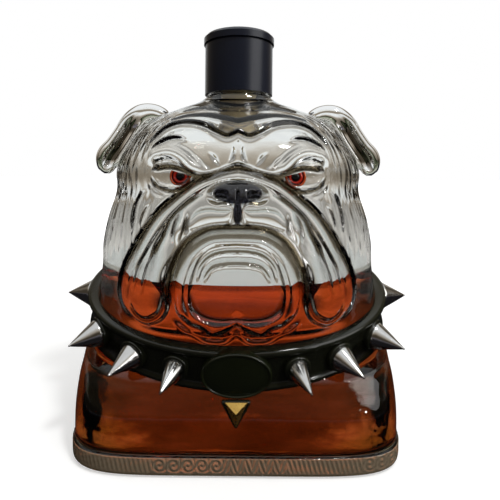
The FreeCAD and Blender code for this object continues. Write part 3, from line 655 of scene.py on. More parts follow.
def hollow_rings(grow, top_height):
    """Rings of the cavity from its floor up to a height, grown by a little."""
    floor = FLOOR_THICKNESS - grow
    levels = [(floor, FLOOR_ROUND + inset) for inset in CAP_INSETS]
    levels += [(floor + up, inset) for up, inset in quarter_round(FLOOR_ROUND, 0.05, 12)]
    straight = np.arange(FLOOR_THICKNESS + FLOOR_ROUND + 0.5, HOLLOW_SHOULDER, INNER_ROW_STEP)
    crown = HOLLOW_SHOULDER + HOLLOW_CROWN * np.sin(np.linspace(0.05, 1, 14) * math.pi / 2)
    levels += [(z, 0.0) for z in np.concatenate([straight, crown])]
    return [hollow_ring(level, inset - grow) for level, inset in levels if level <= top_height]


def hollow_solid():
    """The cavity and the bore of the neck, as one closed form to cut out."""
    rings = hollow_rings(0, HEAD_HEIGHT)
    for level in (rings[-1][0, 2] + BORE_STEP, NECK_TOP + CUT_OVERRUN):
        rings.append(circle(full_turn(INNER_COLUMNS), BORE_RADIUS, level))
    return closed_mesh("hollow", rings)


# Folded ears: pixels of the left ear's middle line from the skull to the tip, half-width in pixels,
# half-thickness in millimetres and how far forward it lies.
EAR_LINE = [
    (172, 126, 8.0, 6.0, 0),
    (158, 115.5, 9.0, 6.2, 0),
    (144, 115.5, 11.0, 6.2, 1),
    (133.5, 123.5, 12.3, 6.0, 2),
    (126, 135.5, 12.3, 5.8, 4),
    (118, 147.5, 12.6, 5.6, 6),
    (110.5, 157.5, 13.4, 5.2, 7),
    (107.5, 166, 10.6, 4.2, 8),
    (107.2, 171.5, 6.5, 3.0, 8.3),
    (107, 174.5, 2.5, 1.5, 8.5),
]
EAR_STEPS = 8
EAR_COLUMNS = 72
# Forms on the front of the ear: rise, place across it from -1 to 1, width and flatness. The last is
# the pocket, which is painted with shade over a slightly wider place.
EAR_FORMS = [(1.1, 0.62, 0.26, 2), (0.6, -0.72, 0.2, 2), (-4.6, -0.12, 0.42, 3.2)]
EAR_SHADE = (1.0, -0.12, 0.5, 4)
EAR_FLUTE_RISE = 0.22
EAR_FLUTES = 19
EAR_RIM_STEEPNESS = 3
# Shares of the ear's length over which its forms come in and go out.
EAR_START_SHARES = (0.22, 0.42)
EAR_END_SHARES = (0.93, 0.68)


def ear_form(place_across, rise, place, width, flatness):
    return rise * np.exp(-np.abs((place_across - place) / width) ** flatness)


def ear(side):
    """A folded ear with its pocket in front."""
    line = curve(EAR_LINE, EAR_STEPS)
    scale = (EYE_DISTANCE - line[:, 4]) / PHOTO_FOCAL
    across = (PHOTO_MIDDLE - line[:, 0]) * scale
    height = EYE_HEIGHT - (line[:, 1] - PHOTO_HORIZON) * scale
    ahead = np.gradient(np.stack([across, height], 1), axis=0)
    ahead /= np.hypot(*ahead.T)[:, None]
    turn = full_turn(EAR_COLUMNS)
    a, s = np.cos(turn), np.sin(turn)
    front = sum(ear_form(a, *form) for form in EAR_FORMS) + EAR_FLUTE_RISE * np.cos(a * EAR_FLUTES)
    front = np.where(s < 0, front * np.minimum(1, -s * EAR_RIM_STEEPNESS), 0)
    part = np.linspace(0, 1, len(line))[:, None]
    hollow = eased(part, *EAR_START_SHARES) * eased(part, *EAR_END_SHARES)
    out = line[:, 2:3] * scale[:, None] * a
    x = across[:, None] - ahead[:, 1:] * out
    z = height[:, None] + ahead[:, :1] * out
    y = line[:, 3:4] * s - line[:, 4:] - front * hollow
    rings, shade = stacked(side * x, y, z), ear_form(a, *EAR_SHADE) * hollow * (s < 0)
    if side < 0:
        rings, shade = rings[:, ::-1], shade[:, ::-1]
    piece = closed_mesh("ear", rings)
    # Shade is painted into the pocket.
    add_shade(piece, shade)
    return piece


def combined(base, other, operation):
    """Joins a form to another, or cuts it out, and removes the other."""
    modifier = base.modifiers.new(operation.lower(), "BOOLEAN")
    modifier.object = other
    modifier.operation = operation
    modifier.solver = "MANIFOLD"
    graph = bpy.context.evaluated_depsgraph_get()
    mesh = bpy.data.meshes.new_from_object(base.evaluated_get(graph))
    base.modifiers.clear()
    base.data = mesh
    bpy.data.objects.remove(other)
    return base


def points_of(piece):
    flat = np.empty(len(piece.data.vertices) * 3)
    piece.data.vertices.foreach_get("co", flat)
    return flat.reshape(-1, 3)


# Two points closer than this, in metres, are the same. A blended point goes this share of the way
# to the middle of its neighbours in each round.
SAME_PLACE = 1e-6
BLEND_SHARE = 0.6


def tree_of(points):
    tree = KDTree(len(points))
    for i, point in enumerate(points):
        tree.insert(point, i)
    tree.balance()
    return tree


def blend_joint(piece, known, reach, rounds):
    """Softens a piece where two forms met, within a reach of the points that are new."""
    points = points_of(piece)
    known_tree = tree_of(known)
    seam_tree = tree_of([p for p in points if known_tree.find(p)[2] > SAME_PLACE])
    weight = np.array([smooth(1 - seam_tree.find(p)[2] / reach) for p in points])[:, None]
    edges = np.empty(len(piece.data.edges) * 2, int)
    piece.data.edges.foreach_get("vertices", edges)
    a, b = edges.reshape(-1, 2).T
    count = np.bincount(a, minlength=len(points)) + np.bincount(b, minlength=len(points))
    for _ in range(rounds):
        total = np.zeros(points.shape)
        np.add.at(total, a, points[b])
        np.add.at(total, b, points[a])
        points += weight * BLEND_SHARE * (total / count[:, None] - points)
    piece.data.vertices.foreach_set("co", points.ravel())
    piece.data.update()


def shaded(piece, material, sharp):
    """Shades a piece smoothly up to an angle and gives it its material."""
    piece.data.shade_smooth()
    piece.data.set_sharp_from_angle(angle=math.radians(sharp))
    piece.data.materials.clear()
    piece.data.materials.append(material)


def finished(piece, material, node, sharp=45):
    """Shades a piece and sets it on the decanter in place of a CAD node."""
    shaded(piece, material, sharp)
    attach(piece, "decanter")
    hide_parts(node)


# Materials.


class Nodes:
    """The node tree of a material or a world, and short ways to add and link its nodes."""

    def __init__(self, owner, output="OutputMaterial"):
        owner.use_nodes = True
        self.owner = owner
        self.tree = owner.node_tree
        self.tree.nodes.clear()
        self.output = self.add(output)

    def feed(self, socket, value):
        if isinstance(value, bpy.types.NodeSocket):
            self.tree.links.new(value, socket)
        else:
            socket.default_value = value

    def add(self, kind, settings=None, **inputs):
        """A node with its settings, and its inputs by their names."""
        node = self.tree.nodes.new("ShaderNode" + kind)
        for key, value in (settings or {}).items():
            setattr(node, key, value)
        for key, value in inputs.items():
            self.feed(node.inputs[key.replace("_", " ")], value)
        return node

    def of(self, kind, *values, **settings):
        """The first output of a node whose inputs take the values in turn."""
        node = self.add(kind, settings)
        for socket, value in zip(node.inputs, values):
            self.feed(socket, value)
        return node.outputs[0]

    def done(self, **sockets):
        for name, socket in sockets.items():
            self.feed(self.output.inputs[name], socket)
        return self.owner


def new_material(name):
    return Nodes(bpy.data.materials.new(name))


def place(n):
    return n.add("TexCoord").outputs["Object"]


def parts(n, vector):
    return n.add("SeparateXYZ", Vector=vector).outputs


def length(n, vector):
    return n.add("VectorMath", {"operation": "LENGTH"}, Vector=vector).outputs["Value"]


def times(n, first, second):
    return n.of("Math", first, second, operation="MULTIPLY")


def noise(n, scale, detail=3.0):
    return n.add("TexNoise", Vector=place(n), Scale=scale, Detail=detail).outputs["Fac"]


def ramp(n, value, low, high, start=0.0, end=1.0, shape="LINEAR"):
    """A value run from low to high between two places."""
    node = n.add("MapRange", {"interpolation_type": shape}, Value=value, From_Min=start, From_Max=end)
    n.feed(node.inputs["To Min"], low)
    n.feed(node.inputs["To Max"], high)
    return node.outputs["Result"]


def mixed(n, factor, first, second):
    """A colour between two."""
    node = n.add("Mix", {"data_type": "RGBA"}, Factor=factor)
    for socket, colour in ((node.inputs[6], first), (node.inputs[7], second)):
        n.feed(socket, colour if isinstance(colour, bpy.types.NodeSocket) else (*colour, 1))
    return node.outputs[2]


def bump(n, height, strength, distance):
    return n.add("Bump", Height=height, Strength=strength, Distance=distance).outputs["Normal"]


# Clear glass, and the colour of the shade painted into the bottoms of the creases.
GLASS_COLOUR = (0.985, 0.985, 0.97)
GLASS_DEPTH_COLOUR = (0.90, 0.91, 0.88, 1)
GLASS_DENSITY = 14.0
CREASE_SHADE_COLOUR = (0.026, 0.018, 0.008)
# The worked glass of the base band: roughness, colour and how much light it still lets through.
BASE_FROST = 0.12
BASE_COLOUR = (0.60, 0.47, 0.32)
BASE_CLEAR_SHARE = 0.58
# Shade painted on the nose and the strip below it: middles and half-sizes in metres.
NOSE_MIDDLE = (0.0, -0.064, 0.1082)
NOSE_HALF_SIZES = (0.0112, 0.022, 0.0048)
STRIP_MIDDLE = (0.0, -0.064, 0.101)
STRIP_HALF_SIZES = (0.0018, 0.022, 0.0055)
NOSE_SHADE_COLOUR = (0.0015, 0.0016, 0.003)


def within(n, middle, half_sizes):
    """A mask that is 1 inside a rounded form and fades out at its edge."""
    away = n.of("VectorMath", place(n), middle, operation="SUBTRACT")
    reach = length(n, n.of("VectorMath", away, half_sizes, operation="DIVIDE"))
    return ramp(n, reach, 1.0, 0.0, 0.8, 1.15)


def on_base_band(n):
    """A mask that is 1 on the upright face of the base band."""
    low = ramp(n, parts(n, place(n))["Z"], 1.0, 0.0, BASE_BAND_HEIGHT * MM, (BASE_BAND_HEIGHT + 0.6) * MM)
    facing = parts(n, n.add("NewGeometry").outputs["True Normal"])["Z"]
    return times(n, low, ramp(n, n.of("Math", facing, operation="ABSOLUTE"), 1.0, 0.0, 0.6, 0.9))


def clear_glass():
    """Clear glass with slight waves, with shade painted into the creases and onto the nose, and worked at
    the base.
    """
    n = new_material("clear_glass")
    # Painted shade in the creases and the ear pocket darkens the glass colour.
    painted_shade = n.add("Attribute", {"attribute_name": "painted_shade"}).outputs["Fac"]
    # Painted shade on the nose and the strip below it.
    nose, strip = within(n, NOSE_MIDDLE, NOSE_HALF_SIZES), within(n, STRIP_MIDDLE, STRIP_HALF_SIZES)
    nose_shade = n.of("Math", nose, strip, operation="MAXIMUM")
    colour = mixed(n, nose_shade, mixed(n, painted_shade, GLASS_COLOUR, CREASE_SHADE_COLOUR), NOSE_SHADE_COLOUR)
    worked = on_base_band(n)
    shader = n.add(
        "BsdfPrincipled",
        Base_Color=mixed(n, worked, colour, BASE_COLOUR),
        Roughness=ramp(n, worked, 0.0, BASE_FROST),
        IOR=1.5,
        Transmission_Weight=ramp(n, worked, 1.0, BASE_CLEAR_SHARE),
        Normal=bump(n, noise(n, 60.0, 2.0), 0.12, 0.002),
    )
    inside_glass = n.add("VolumeAbsorption", Color=GLASS_DEPTH_COLOUR, Density=GLASS_DENSITY)
    return n.done(Surface=shader.outputs["BSDF"], Volume=inside_glass.outputs["Volume"])


LIQUOR_COLOUR = (0.93, 0.95, 0.90)
LIQUOR_DEPTH_COLOUR = (0.90, 0.40, 0.02, 1)
LIQUOR_DENSITY = 42.0
# How much of the light the top of the liquor throws back, and how far below it that starts.
LIQUOR_GLEAM = 0.56
GLEAM_DEPTHS = (2.5, 1.6)
# Painted reflections low in the body, drawn out and streaky: how fine they are along each axis, per
# metre, their colour and the heights between which they thin out.
STREAK_SCALE = (30.0, 30.0, 150.0)
STREAK_REFLECTION_COLOUR = (0.46, 0.46, 0.17)
STREAK_HEIGHTS = (32, 68)


def painted_reflection_streaks(n, height):
    """A mask of painted reflections, drawn out and streaky, that thin out upward: 0 clear, 1 darkest."""
    drawn = n.of("VectorMath", place(n), STREAK_SCALE, operation="MULTIPLY")
    field = n.add("TexNoise", Vector=drawn, Scale=1.0, Detail=4.0, Distortion=0.7).outputs["Fac"]
    low, high = STREAK_HEIGHTS
    return times(n, ramp(n, field, 0.0, 1.0, 0.40, 0.64), ramp(n, height, 1.0, 0.0, low * MM, high * MM))


def amber_liquor():
    """Amber spirit with painted reflections streaked low in the body, whose top gleams silver."""
    n = new_material("amber_liquor")
    height = parts(n, place(n))["Z"]
    start, end = ((LIQUOR_LEVEL - depth) * MM for depth in GLEAM_DEPTHS)
    shader = n.add(
        "BsdfPrincipled",
        # Painted reflections, as darker streaky marks, are mixed into the liquor's colour.
        Base_Color=mixed(n, painted_reflection_streaks(n, height), LIQUOR_COLOUR, STREAK_REFLECTION_COLOUR),
        Roughness=0.0,
        IOR=1.36,
        Metallic=ramp(n, height, 0.0, LIQUOR_GLEAM, start, end),
        Transmission_Weight=1.0,
    )
    depth = n.add("VolumeAbsorption", Color=LIQUOR_DEPTH_COLOUR, Density=LIQUOR_DENSITY)
    return n.done(Surface=shader.outputs["BSDF"], Volume=depth.outputs["Volume"])


def gloss_black(name, colour, roughness, wear=1.0):
    """Dark gloss plastic with faint clouding and fine scuffs."""
    n = new_material(name)
    smoothest, roughest = roughness * (1 - 0.3 * wear), roughness * (1 + 0.5 * wear)
    shader = n.add(
        "BsdfPrincipled",
        Base_Color=mixed(n, noise(n, 40.0), colour, tuple(c * 1.6 for c in colour)),
        Roughness=ramp(n, noise(n, 900.0, 6.0), smoothest, roughest, 0.3, 0.7),
        Normal=bump(n, noise(n, 500.0, 4.0), 0.015 * wear, 0.0003),
    )
    return n.done(Surface=shader.outputs["BSDF"])


# Colours of the iris by share of its radius.
IRIS_COLOURS = [
    (0.36, (0.06, 0.002, 0.001, 1)),
    (0.46, (0.62, 0.015, 0.004, 1)),
    (0.63, (0.70, 0.03, 0.006, 1)),
    (0.69, (0.05, 0.003, 0.002, 1)),
    (0.76, (0.05, 0.003, 0.002, 1)),
    (0.81, (0.62, 0.05, 0.008, 1)),
    (0.95, (0.72, 0.14, 0.02, 1)),
]


def iris_red():
    """Glossy enamel in rings: orange outside, dark between, bright red inside."""
    n = new_material("iris_red")
    ring = n.add("Attribute", {"attribute_name": "ring"}).outputs["Fac"]
    wavy = n.of("Math", ring, ramp(n, noise(n, 900.0), -0.02, 0.02), operation="ADD")
    colours = n.add("ValToRGB", Fac=wavy)
    stops = colours.color_ramp.elements
    while len(stops) > 1:
        stops.remove(stops[-1])
    for i, (position, colour) in enumerate(IRIS_COLOURS):
        stop = stops.new(position) if i else stops[0]
        stop.position, stop.color = position, colour
    shader = n.add("BsdfPrincipled", Base_Color=colours.outputs["Color"], Roughness=0.12, Coat_Weight=0.6)
    return n.done(Surface=shader.outputs["BSDF"])


def metal(name, colour, worn, roughness):
    """Polished metal, clouded and scuffed a little."""
    n = new_material(name)
    shader = n.add(
        "BsdfPrincipled",
        Base_Color=mixed(n, noise(n, 150.0, 4.0), colour, worn),
        Metallic=1.0,
        Roughness=ramp(n, noise(n, 700.0, 5.0), roughness * 0.6, roughness * 1.8, 0.3, 0.7),
        Normal=bump(n, noise(n, 300.0, 3.0), 0.05, 0.0004),
    )
    return n.done(Surface=shader.outputs["BSDF"])


GLASS = clear_glass()
LIQUOR = amber_liquor()
COLLAR = gloss_black("collar_black", (0.010, 0.011, 0.006), 0.14)
PLATE = gloss_black("plate_black", (0.010, 0.013, 0.005), 0.2, 0.3)
STOPPER = gloss_black("stopper_black", (0.006, 0.009, 0.020), 0.3, 0.15)
CHROME = metal("spike_chrome", (0.72, 0.72, 0.72), (0.55, 0.54, 0.52), 0.12)
BRASS = metal("point_brass", (0.70, 0.47, 0.13), (0.50, 0.31, 0.08), 0.25)
STEEL = metal("screw_steel", (0.55, 0.55, 0.55), (0.4, 0.4, 0.4), 0.3)
IRIS = iris_red()
PUPIL = gloss_black("pupil_black", (0.004, 0.003, 0.003), 0.08)
RUBBER = gloss_black("seal_rubber", (0.34, 0.27, 0.17), 0.5)
CORE = gloss_black("core_plastic", (0.66, 0.54, 0.30), 0.4)

# CAD pieces that are shown as they are.
SHOWN_NODES = [
    (STEEL, ["plate_screws", "stopper_screw"]),
    (STOPPER, ["stopper_sleeve", "stopper_top_disc"]),
    (CORE, ["stopper_core"]),
    (RUBBER, ["stopper_seal_1", "stopper_seal_2", "stopper_seal_3"]),
]
for node_material, node_names in SHOWN_NODES:
    for node_name in node_names:
        shaded(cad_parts[node_name], node_material, 35)


# The glass and the liquor. The ears are blended into the head over a short reach, and the liquor
# goes a hair into the glass, so that light passes straight from one to the other.
EAR_BLEND = 3.0
EAR_BLEND_ROUNDS = 10
LIQUOR_OVERLAP = 0.15


def glass_body():
    glass = glass_outside()
    for side in (-1, 1):
        flap = ear(side)
        known = np.vstack([points_of(glass), points_of(flap)])
        combined(glass, flap, "UNION")
        blend_joint(glass, known, EAR_BLEND * MM, EAR_BLEND_ROUNDS)
    combined(glass, hollow_solid(), "DIFFERENCE")
    finished(glass, GLASS, "glass_body")


def liquor_fill():
    liquor = closed_mesh("liquor", hollow_rings(LIQUOR_OVERLAP, LIQUOR_LEVEL))
    finished(liquor, LIQUOR, "liquor_fill")


# The collar: a moulded band with round rims, and a round boss under each spike.
RIM_ROUND = 1.6
RIM_WIDTH = 3.4
RIM_SINK = 0.35
RIM_START = -0.62
FACE_DIP = 0.25
BACK_EDGE = [(0.8, 0.0), (0.25, -0.15), (0.06, -0.6)]
BAND_STEPS = 360
# Spikes: shares of the way round to those on one side, and the sizes of the spikes and bosses. A
# foot's places are from the spike's radius and the foot's bottom, and a tip's from the tip.
SPIKE_COUNT = 16
SPIKE_SHARES = [0.060, 0.109, 0.165, 0.250, 0.3125, 0.375, 0.4375]
SPIKE_LINE = 4.1
SPIKE_LENGTH = 12.4
FRONT_SPIKE_RADIUS = 4.3
SIDE_SPIKE_RADIUS = 6.4
SIDE_SPIKE = 4
BOSS_MARGIN = 1.1
BOSS_HEIGHT = 1.8
BOSS_ROUND = 0.7
BOSS_FOOT = [(-0.2, -1.6), (0.0, 0.2), (0.0, 1.0)]
BOSS_SEAT = [(-0.1, 0.0), (-0.35, -0.3)]
FOOT_DEPTH = 0.6
FOOT = [(-0.5, 0.0), (-0.1, 0.35), (0.0, 0.9), (-0.12, 1.35)]
TIP = [(0.42, -0.22), (0.25, -0.06), (0.08, 0.0)]
CONE_INSET = 0.25
CONE_POWER = 0.97
TIP_RADIUS = 0.12


def round_throat(turn, out, up):
    """A place round the throat: turn from the front, outward from the glass and up the band."""
    x, y = THROAT_HALF_WIDTH * np.sin(turn), -THROAT_HALF_DEPTH * np.cos(turn)
    way_x, way_y = np.sin(turn) / THROAT_HALF_WIDTH, -np.cos(turn) / THROAT_HALF_DEPTH
    away = np.hypot(way_x, way_y)
    return stacked(*from_collar(x + out * way_x / away, y + out * way_y / away, up))


def band_profile():
    """Outward and upward places round the band's cross-section."""
    half = BAND_WIDTH / 2
    rim_out, rim_up = BAND_THICKNESS - RIM_SINK, half - RIM_ROUND
    upper = []
    for t in np.linspace(0, 1, 6):
        upper.append((BAND_THICKNESS - FACE_DIP * math.cos(t * math.pi / 2), t * (half - RIM_WIDTH)))
    for t in np.linspace(RIM_START, math.pi / 2, 9):
        upper.append((rim_out + RIM_ROUND * math.cos(t), rim_up + RIM_ROUND * math.sin(t)))
    upper += [(out, half + up) for out, up in BACK_EDGE]
    lower = [(out, -up) for out, up in upper[::-1]]
    return np.array(lower[:-1] + upper)


def torus_mesh(name, rings):
    """An object over rings that close on each other, like a tyre."""
    rings = np.asarray(rings, float)
    count, size = rings.shape[:2]
    faces = grid_faces(count + 1, size) % (count * size)
    return new_piece(name, rings.reshape(-1, 3), faces.tolist())


def outward_faces(piece):
    shape = bmesh.new()
    shape.from_mesh(piece.data)
    bmesh.ops.recalc_face_normals(shape, faces=shape.faces)
    shape.to_mesh(piece.data)
    shape.free()
    return piece


def joined(first, others):
    """One object out of several."""
    shape = bmesh.new()
    for piece in [first] + others:
        shape.from_mesh(piece.data)
    shape.to_mesh(first.data)
    shape.free()
    for piece in others:
        bpy.data.objects.remove(piece)
    return first


def turned(name, profile, matrix, segments=72):
    """A turned form: rows of radius and height about the local Z axis, then set in place."""
    piece = closed_mesh(name, [circle(full_turn(segments), radius, up) for radius, up in profile])
    piece.data.transform(matrix)
    return piece


def spike_turns():
    """Turns from the front to the spots of the spikes, by shares of the way round the band."""
    turn = np.linspace(0, 2 * math.pi, 7201)
    across = (THROAT_HALF_WIDTH + SPIKE_LINE) * np.cos(turn)
    along = (THROAT_HALF_DEPTH + SPIKE_LINE) * np.sin(turn)
    run = np.concatenate([[0], np.cumsum(np.hypot(across, along)[1:])])
    shares = [0] + SPIKE_SHARES + [0.5] + [1 - share for share in SPIKE_SHARES[::-1]]
    return np.interp(np.array(shares) * run[-1], run, turn)


def collar_matrix(turn, out):
    """A frame on the band whose Y points up the band and whose Z points outward."""
    spot = round_throat(turn, out, 0.0)
    ahead = Vector(round_throat(turn, out + 1, 0.0) - spot)
    above = Vector(round_throat(turn, out, 1.0) - spot)
    matrix = Matrix((above.cross(ahead), above, ahead)).transposed().to_4x4()
    matrix.translation = Vector(spot) * MM
    return matrix


def spike_radius(index):
    """Spikes grow from the front to the side, and stay so to the back."""
    step = min(min(index, SPIKE_COUNT - index), SIDE_SPIKE) - 1
    return FRONT_SPIKE_RADIUS + (SIDE_SPIKE_RADIUS - FRONT_SPIKE_RADIUS) * step / (SIDE_SPIKE - 1)


def boss(index, turn):
    """The round boss under a spike, with a seat sunk in its top."""
    seat = spike_radius(index)
    radius = seat + BOSS_MARGIN
    profile = [(radius + out, up) for out, up in BOSS_FOOT]
    for t in np.linspace(0.2, 1.5, 6):
        down = BOSS_ROUND * (1 - math.sin(t))
        profile.append((radius - BOSS_ROUND * (1 - math.cos(t)), BOSS_HEIGHT - down))
    profile += [(seat + out, BOSS_HEIGHT + up) for out, up in BOSS_SEAT]
    return turned("ring", profile, collar_matrix(turn, SPIKE_LINE))


def spike(index, turn):
    """A stud: a short foot, a flared shoulder and a long cone with a blunt tip."""
    radius = spike_radius(index)
    foot, tip = BOSS_HEIGHT - FOOT_DEPTH, BOSS_HEIGHT + SPIKE_LENGTH
    profile = [(radius + out, foot + up) for out, up in FOOT]
    shoulder = profile[-1][1]
    for t in np.linspace(0.06, 0.96, 14):
        cone = (radius - CONE_INSET) * (1 - t) ** CONE_POWER + TIP_RADIUS
        profile.append((cone, shoulder + (tip - shoulder) * t))
    profile += [(out, tip + up) for out, up in TIP]
    return turned("spike", profile, collar_matrix(turn, SPIKE_LINE))


def spike_set(name, indices, node):
    turns = spike_turns()
    pieces = [spike(i, turns[i]) for i in indices]
    piece = joined(pieces[0], pieces[1:])
    piece.name = name
    finished(piece, CHROME, node, sharp=60)


def band():
    out, up = band_profile().T
    strap = torus_mesh("collar", [round_throat(turn, out, up) for turn in full_turn(BAND_STEPS)])
    spots = spike_turns()
    strap = joined(outward_faces(strap), [boss(i, spots[i]) for i in range(1, SPIKE_COUNT)])
    finished(strap, COLLAR, "collar_band", sharp=50)


# The oval plate in front: share of its outline and height above its back, from the back edge in.
PLATE_HALF_WIDTH = 13.4
PLATE_HALF_HEIGHT = 9.9
PLATE_BACK = 3.5
PLATE_COLUMNS = 120
PLATE_PROFILE = [
    (0.985, 0.0), (1.0, 0.3), (1.0, 2.3), (0.992, 2.75), (0.975, 3.1), (0.95, 3.3), (0.925, 3.32),
    (0.90, 3.15), (0.885, 2.9), (0.87, 2.82), (0.84, 2.9), (0.7, 3.15), (0.45, 3.4), (0.2, 3.5),
    (0.05, 3.52),
]
# Outside this share the rings keep the same distance from the edge all round.
PLATE_RIM_SHARE = 0.8


def plate():
    turn = full_turn(PLATE_COLUMNS)
    rings = []
    for share, rise in PLATE_PROFILE:
        inset = (1 - share) * PLATE_HALF_HEIGHT
        half_width = PLATE_HALF_WIDTH - inset if share > PLATE_RIM_SHARE else PLATE_HALF_WIDTH * share
        rings.append(stacked(half_width * np.cos(turn), (PLATE_HALF_HEIGHT - inset) * np.sin(turn), rise))
    piece = closed_mesh("plate", rings)
    piece.data.transform(collar_matrix(0.0, PLATE_BACK))
    finished(piece, PLATE, "collar_plate")


# The eyes: an iris in rings round a domed pupil, cut off above by the brow.
IRIS_RADIUS = 4.3
IRIS_COLUMNS = 64
PUPIL_COLUMNS = 48
EYE_INWARD_SHARE = 0.963
EYE_SINK = 0.6
IRIS_PROFILE = [
    (4.3, -1.2), (4.3, 0.0), (4.22, 0.35), (4.0, 0.58), (3.72, 0.62), (3.45, 0.5), (3.28, 0.25),
    (3.15, 0.05), (3.0, 0.05), (2.88, 0.25), (2.72, 0.55), (2.45, 0.7), (2.15, 0.7), (1.9, 0.55),
    (1.72, 0.3), (1.2, 0.2),
]
PUPIL_PROFILE = [(1.68, 0.0), (1.66, 0.45), (1.5, 0.75), (1.2, 0.95), (0.8, 1.08), (0.4, 1.14), (0.1, 1.16)]
BROW_PIXELS = [(161, 167.2), (193, 177.8)]


def eye_matrix(node):
    low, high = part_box(node)
    middle = (low + high) / 2
    matrix = Matrix.Rotation(math.pi / 2, 4, "X")
    matrix.translation = Vector((middle.x * EYE_INWARD_SHARE, low.y + EYE_SINK * MM, middle.z))
    return matrix


def under_brow(piece, side):
    """Cuts away what the brow covers."""
    outer, inner = to_face(BROW_PIXELS)
    run = Vector((side * (inner[0] - outer[0]), 0, inner[1] - outer[1])).normalized()
    up = Vector((-run.z, 0, run.x)) * (1 if run.x > 0 else -1)
    spot = Vector((side * outer[0], 0, outer[1])) * MM
    shape = bmesh.new()
    shape.from_mesh(piece.data)
    everything = shape.verts[:] + shape.edges[:] + shape.faces[:]
    cut = bmesh.ops.bisect_plane(shape, geom=everything, plane_co=spot, plane_no=up, clear_outer=True)
    edges = [part for part in cut["geom_cut"] if isinstance(part, bmesh.types.BMEdge)]
    bmesh.ops.contextual_create(shape, geom=edges)
    shape.to_mesh(piece.data)
    shape.free()


def eye(side, name):
    matrix = eye_matrix("eye_iris_" + name)
    iris = turned("iris_" + name, IRIS_PROFILE, matrix, IRIS_COLUMNS)
    away = points_of(iris) - np.array(matrix.translation)
    rings = np.hypot(away[:, 0], away[:, 2]) / (IRIS_RADIUS * MM)
    iris.data.attributes.new("ring", "FLOAT", "POINT").data.foreach_set("value", rings)
    under_brow(iris, side)
    finished(iris, IRIS, "eye_iris_" + name, sharp=60)
    pupil = turned("pupil_" + name, PUPIL_PROFILE, matrix, PUPIL_COLUMNS)
    under_brow(pupil, side)
    finished(pupil, PUPIL, "eye_pupil_" + name, sharp=60)


# The pendant: a dark three-cornered setting and a brass point with a raised peak. An outline has
# its half-width, top, tip and rounding, and rings of the setting have a share of the outline and a
# distance from the setting's back or front.
SETTING_OUTLINE = (6.0, 30.0, 18.9, 0.9)
SETTING_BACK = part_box("pendant_setting")[1].y / MM
SETTING_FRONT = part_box("pendant_setting")[0].y / MM
SETTING_BACK_RINGS = [(0.97, 0.0), (1.0, -0.25)]
SETTING_FRONT_RINGS = [(1.0, 0.5), (0.96, 0.15), (0.9, 0.0), (0.85, 0.0), (0.82, 0.3)]
POINT_OUTLINE = (4.4, 29.6, 19.9, 0.35)
POINT_PEAK_Y = -56.6
POINT_PEAK_Z = 26.6
POINT_SINK = 0.4
POINT_SHARES = (0.0, 0.08, 0.14, 0.3, 0.5, 0.7, 0.85, 0.95, 0.985)
POINT_EDGE_SHARE = 0.14


def three_corners(half_width, top, tip, rounding):
    """A rounded three-cornered outline, point down, with the same count of places on each corner."""
    corners = [Vector((-half_width, top)), Vector((0, tip)), Vector((half_width, top))]
    outline = []
    for i, corner in enumerate(corners):
        to_last = (corners[i - 1] - corner).normalized()
        to_next = (corners[(i + 1) % 3] - corner).normalized()
        reach = rounding / math.tan(to_last.angle(to_next) / 2)
        start, end = corner + to_last * reach, corner + to_next * reach
        for t in np.linspace(0, 1, 10):
            outline.append((1 - t) ** 2 * start + 2 * t * (1 - t) * corner + t**2 * end)
    return np.array([tuple(spot) for spot in outline])


def setting():
    outline = three_corners(*SETTING_OUTLINE)
    middle = outline.mean(0)
    depths = [(share, SETTING_BACK + by) for share, by in SETTING_BACK_RINGS]
    depths += [(share, SETTING_FRONT + by) for share, by in SETTING_FRONT_RINGS]
    rings = []
    for share, y in depths:
        x, z = (middle + (outline - middle) * share).T
        rings.append(stacked(x, y, z))
    piece = outward_faces(closed_mesh("setting", rings))
    finished(piece, COLLAR, "pendant_setting", sharp=40)


def point():
    outline = three_corners(*POINT_OUTLINE)
    back = SETTING_FRONT + POINT_SINK
    rings = []
    for t in POINT_SHARES:
        inward = max(t - POINT_EDGE_SHARE, 0) / (1 - POINT_EDGE_SHARE)
        x, z = (outline + (np.array([0, POINT_PEAK_Z]) - outline) * inward).T
        rings.append(stacked(x, back + (POINT_PEAK_Y - back) * t, z))
    piece = outward_faces(closed_mesh("point", rings))
    finished(piece, BRASS, "pendant_point", sharp=25)


glass_body()
liquor_fill()
band()
spike_set("spikes_on_the_left", range(9, 16), "spikes_left")
spike_set("spikes_on_the_right", range(1, 8), "spikes_right")
spike_set("spike_at_the_back", [8], "spike_back")
plate()
setting()
point()
eye(-1, "left")
eye(1, "right")


# The stage: floor, world, lamps and camera.

# A thin layer of air stays between the glass and the floor.
FLOOR_DROP = -0.25
FLOOR_HALF_SIDE = 4000
FLOOR_COLOUR = (0.8, 0.8, 0.8, 1)
# The floor's light: two brightnesses, and the places in metres, by distance or along Y, between
# which it goes from one to the other. The camera sees white, with the object's shadow near it.
SEEN_GLOW = (0.44, 1.0)
SEEN_GLOW_REACH = (0.22, 0.8)
# What is seen of it through glass: bright behind the object, fading with distance.
GLOW_COLOUR = (1.0, 0.98, 0.94, 1)
GLOW = (0.75, 0.34)
GLOW_REACH = (0.35, 0.9)
GLOW_START = (0.08, 0.19)
SIDE_GLOW_SHARE = 0.25
# What is mirrored of it: a soft mauve in front of the object.
MIRRORED_COLOUR = (0.60, 0.57, 0.64, 1)
MIRRORED_GLOW = (0.25, 0.02)
MIRRORED_REACH = (-0.55, -0.16)


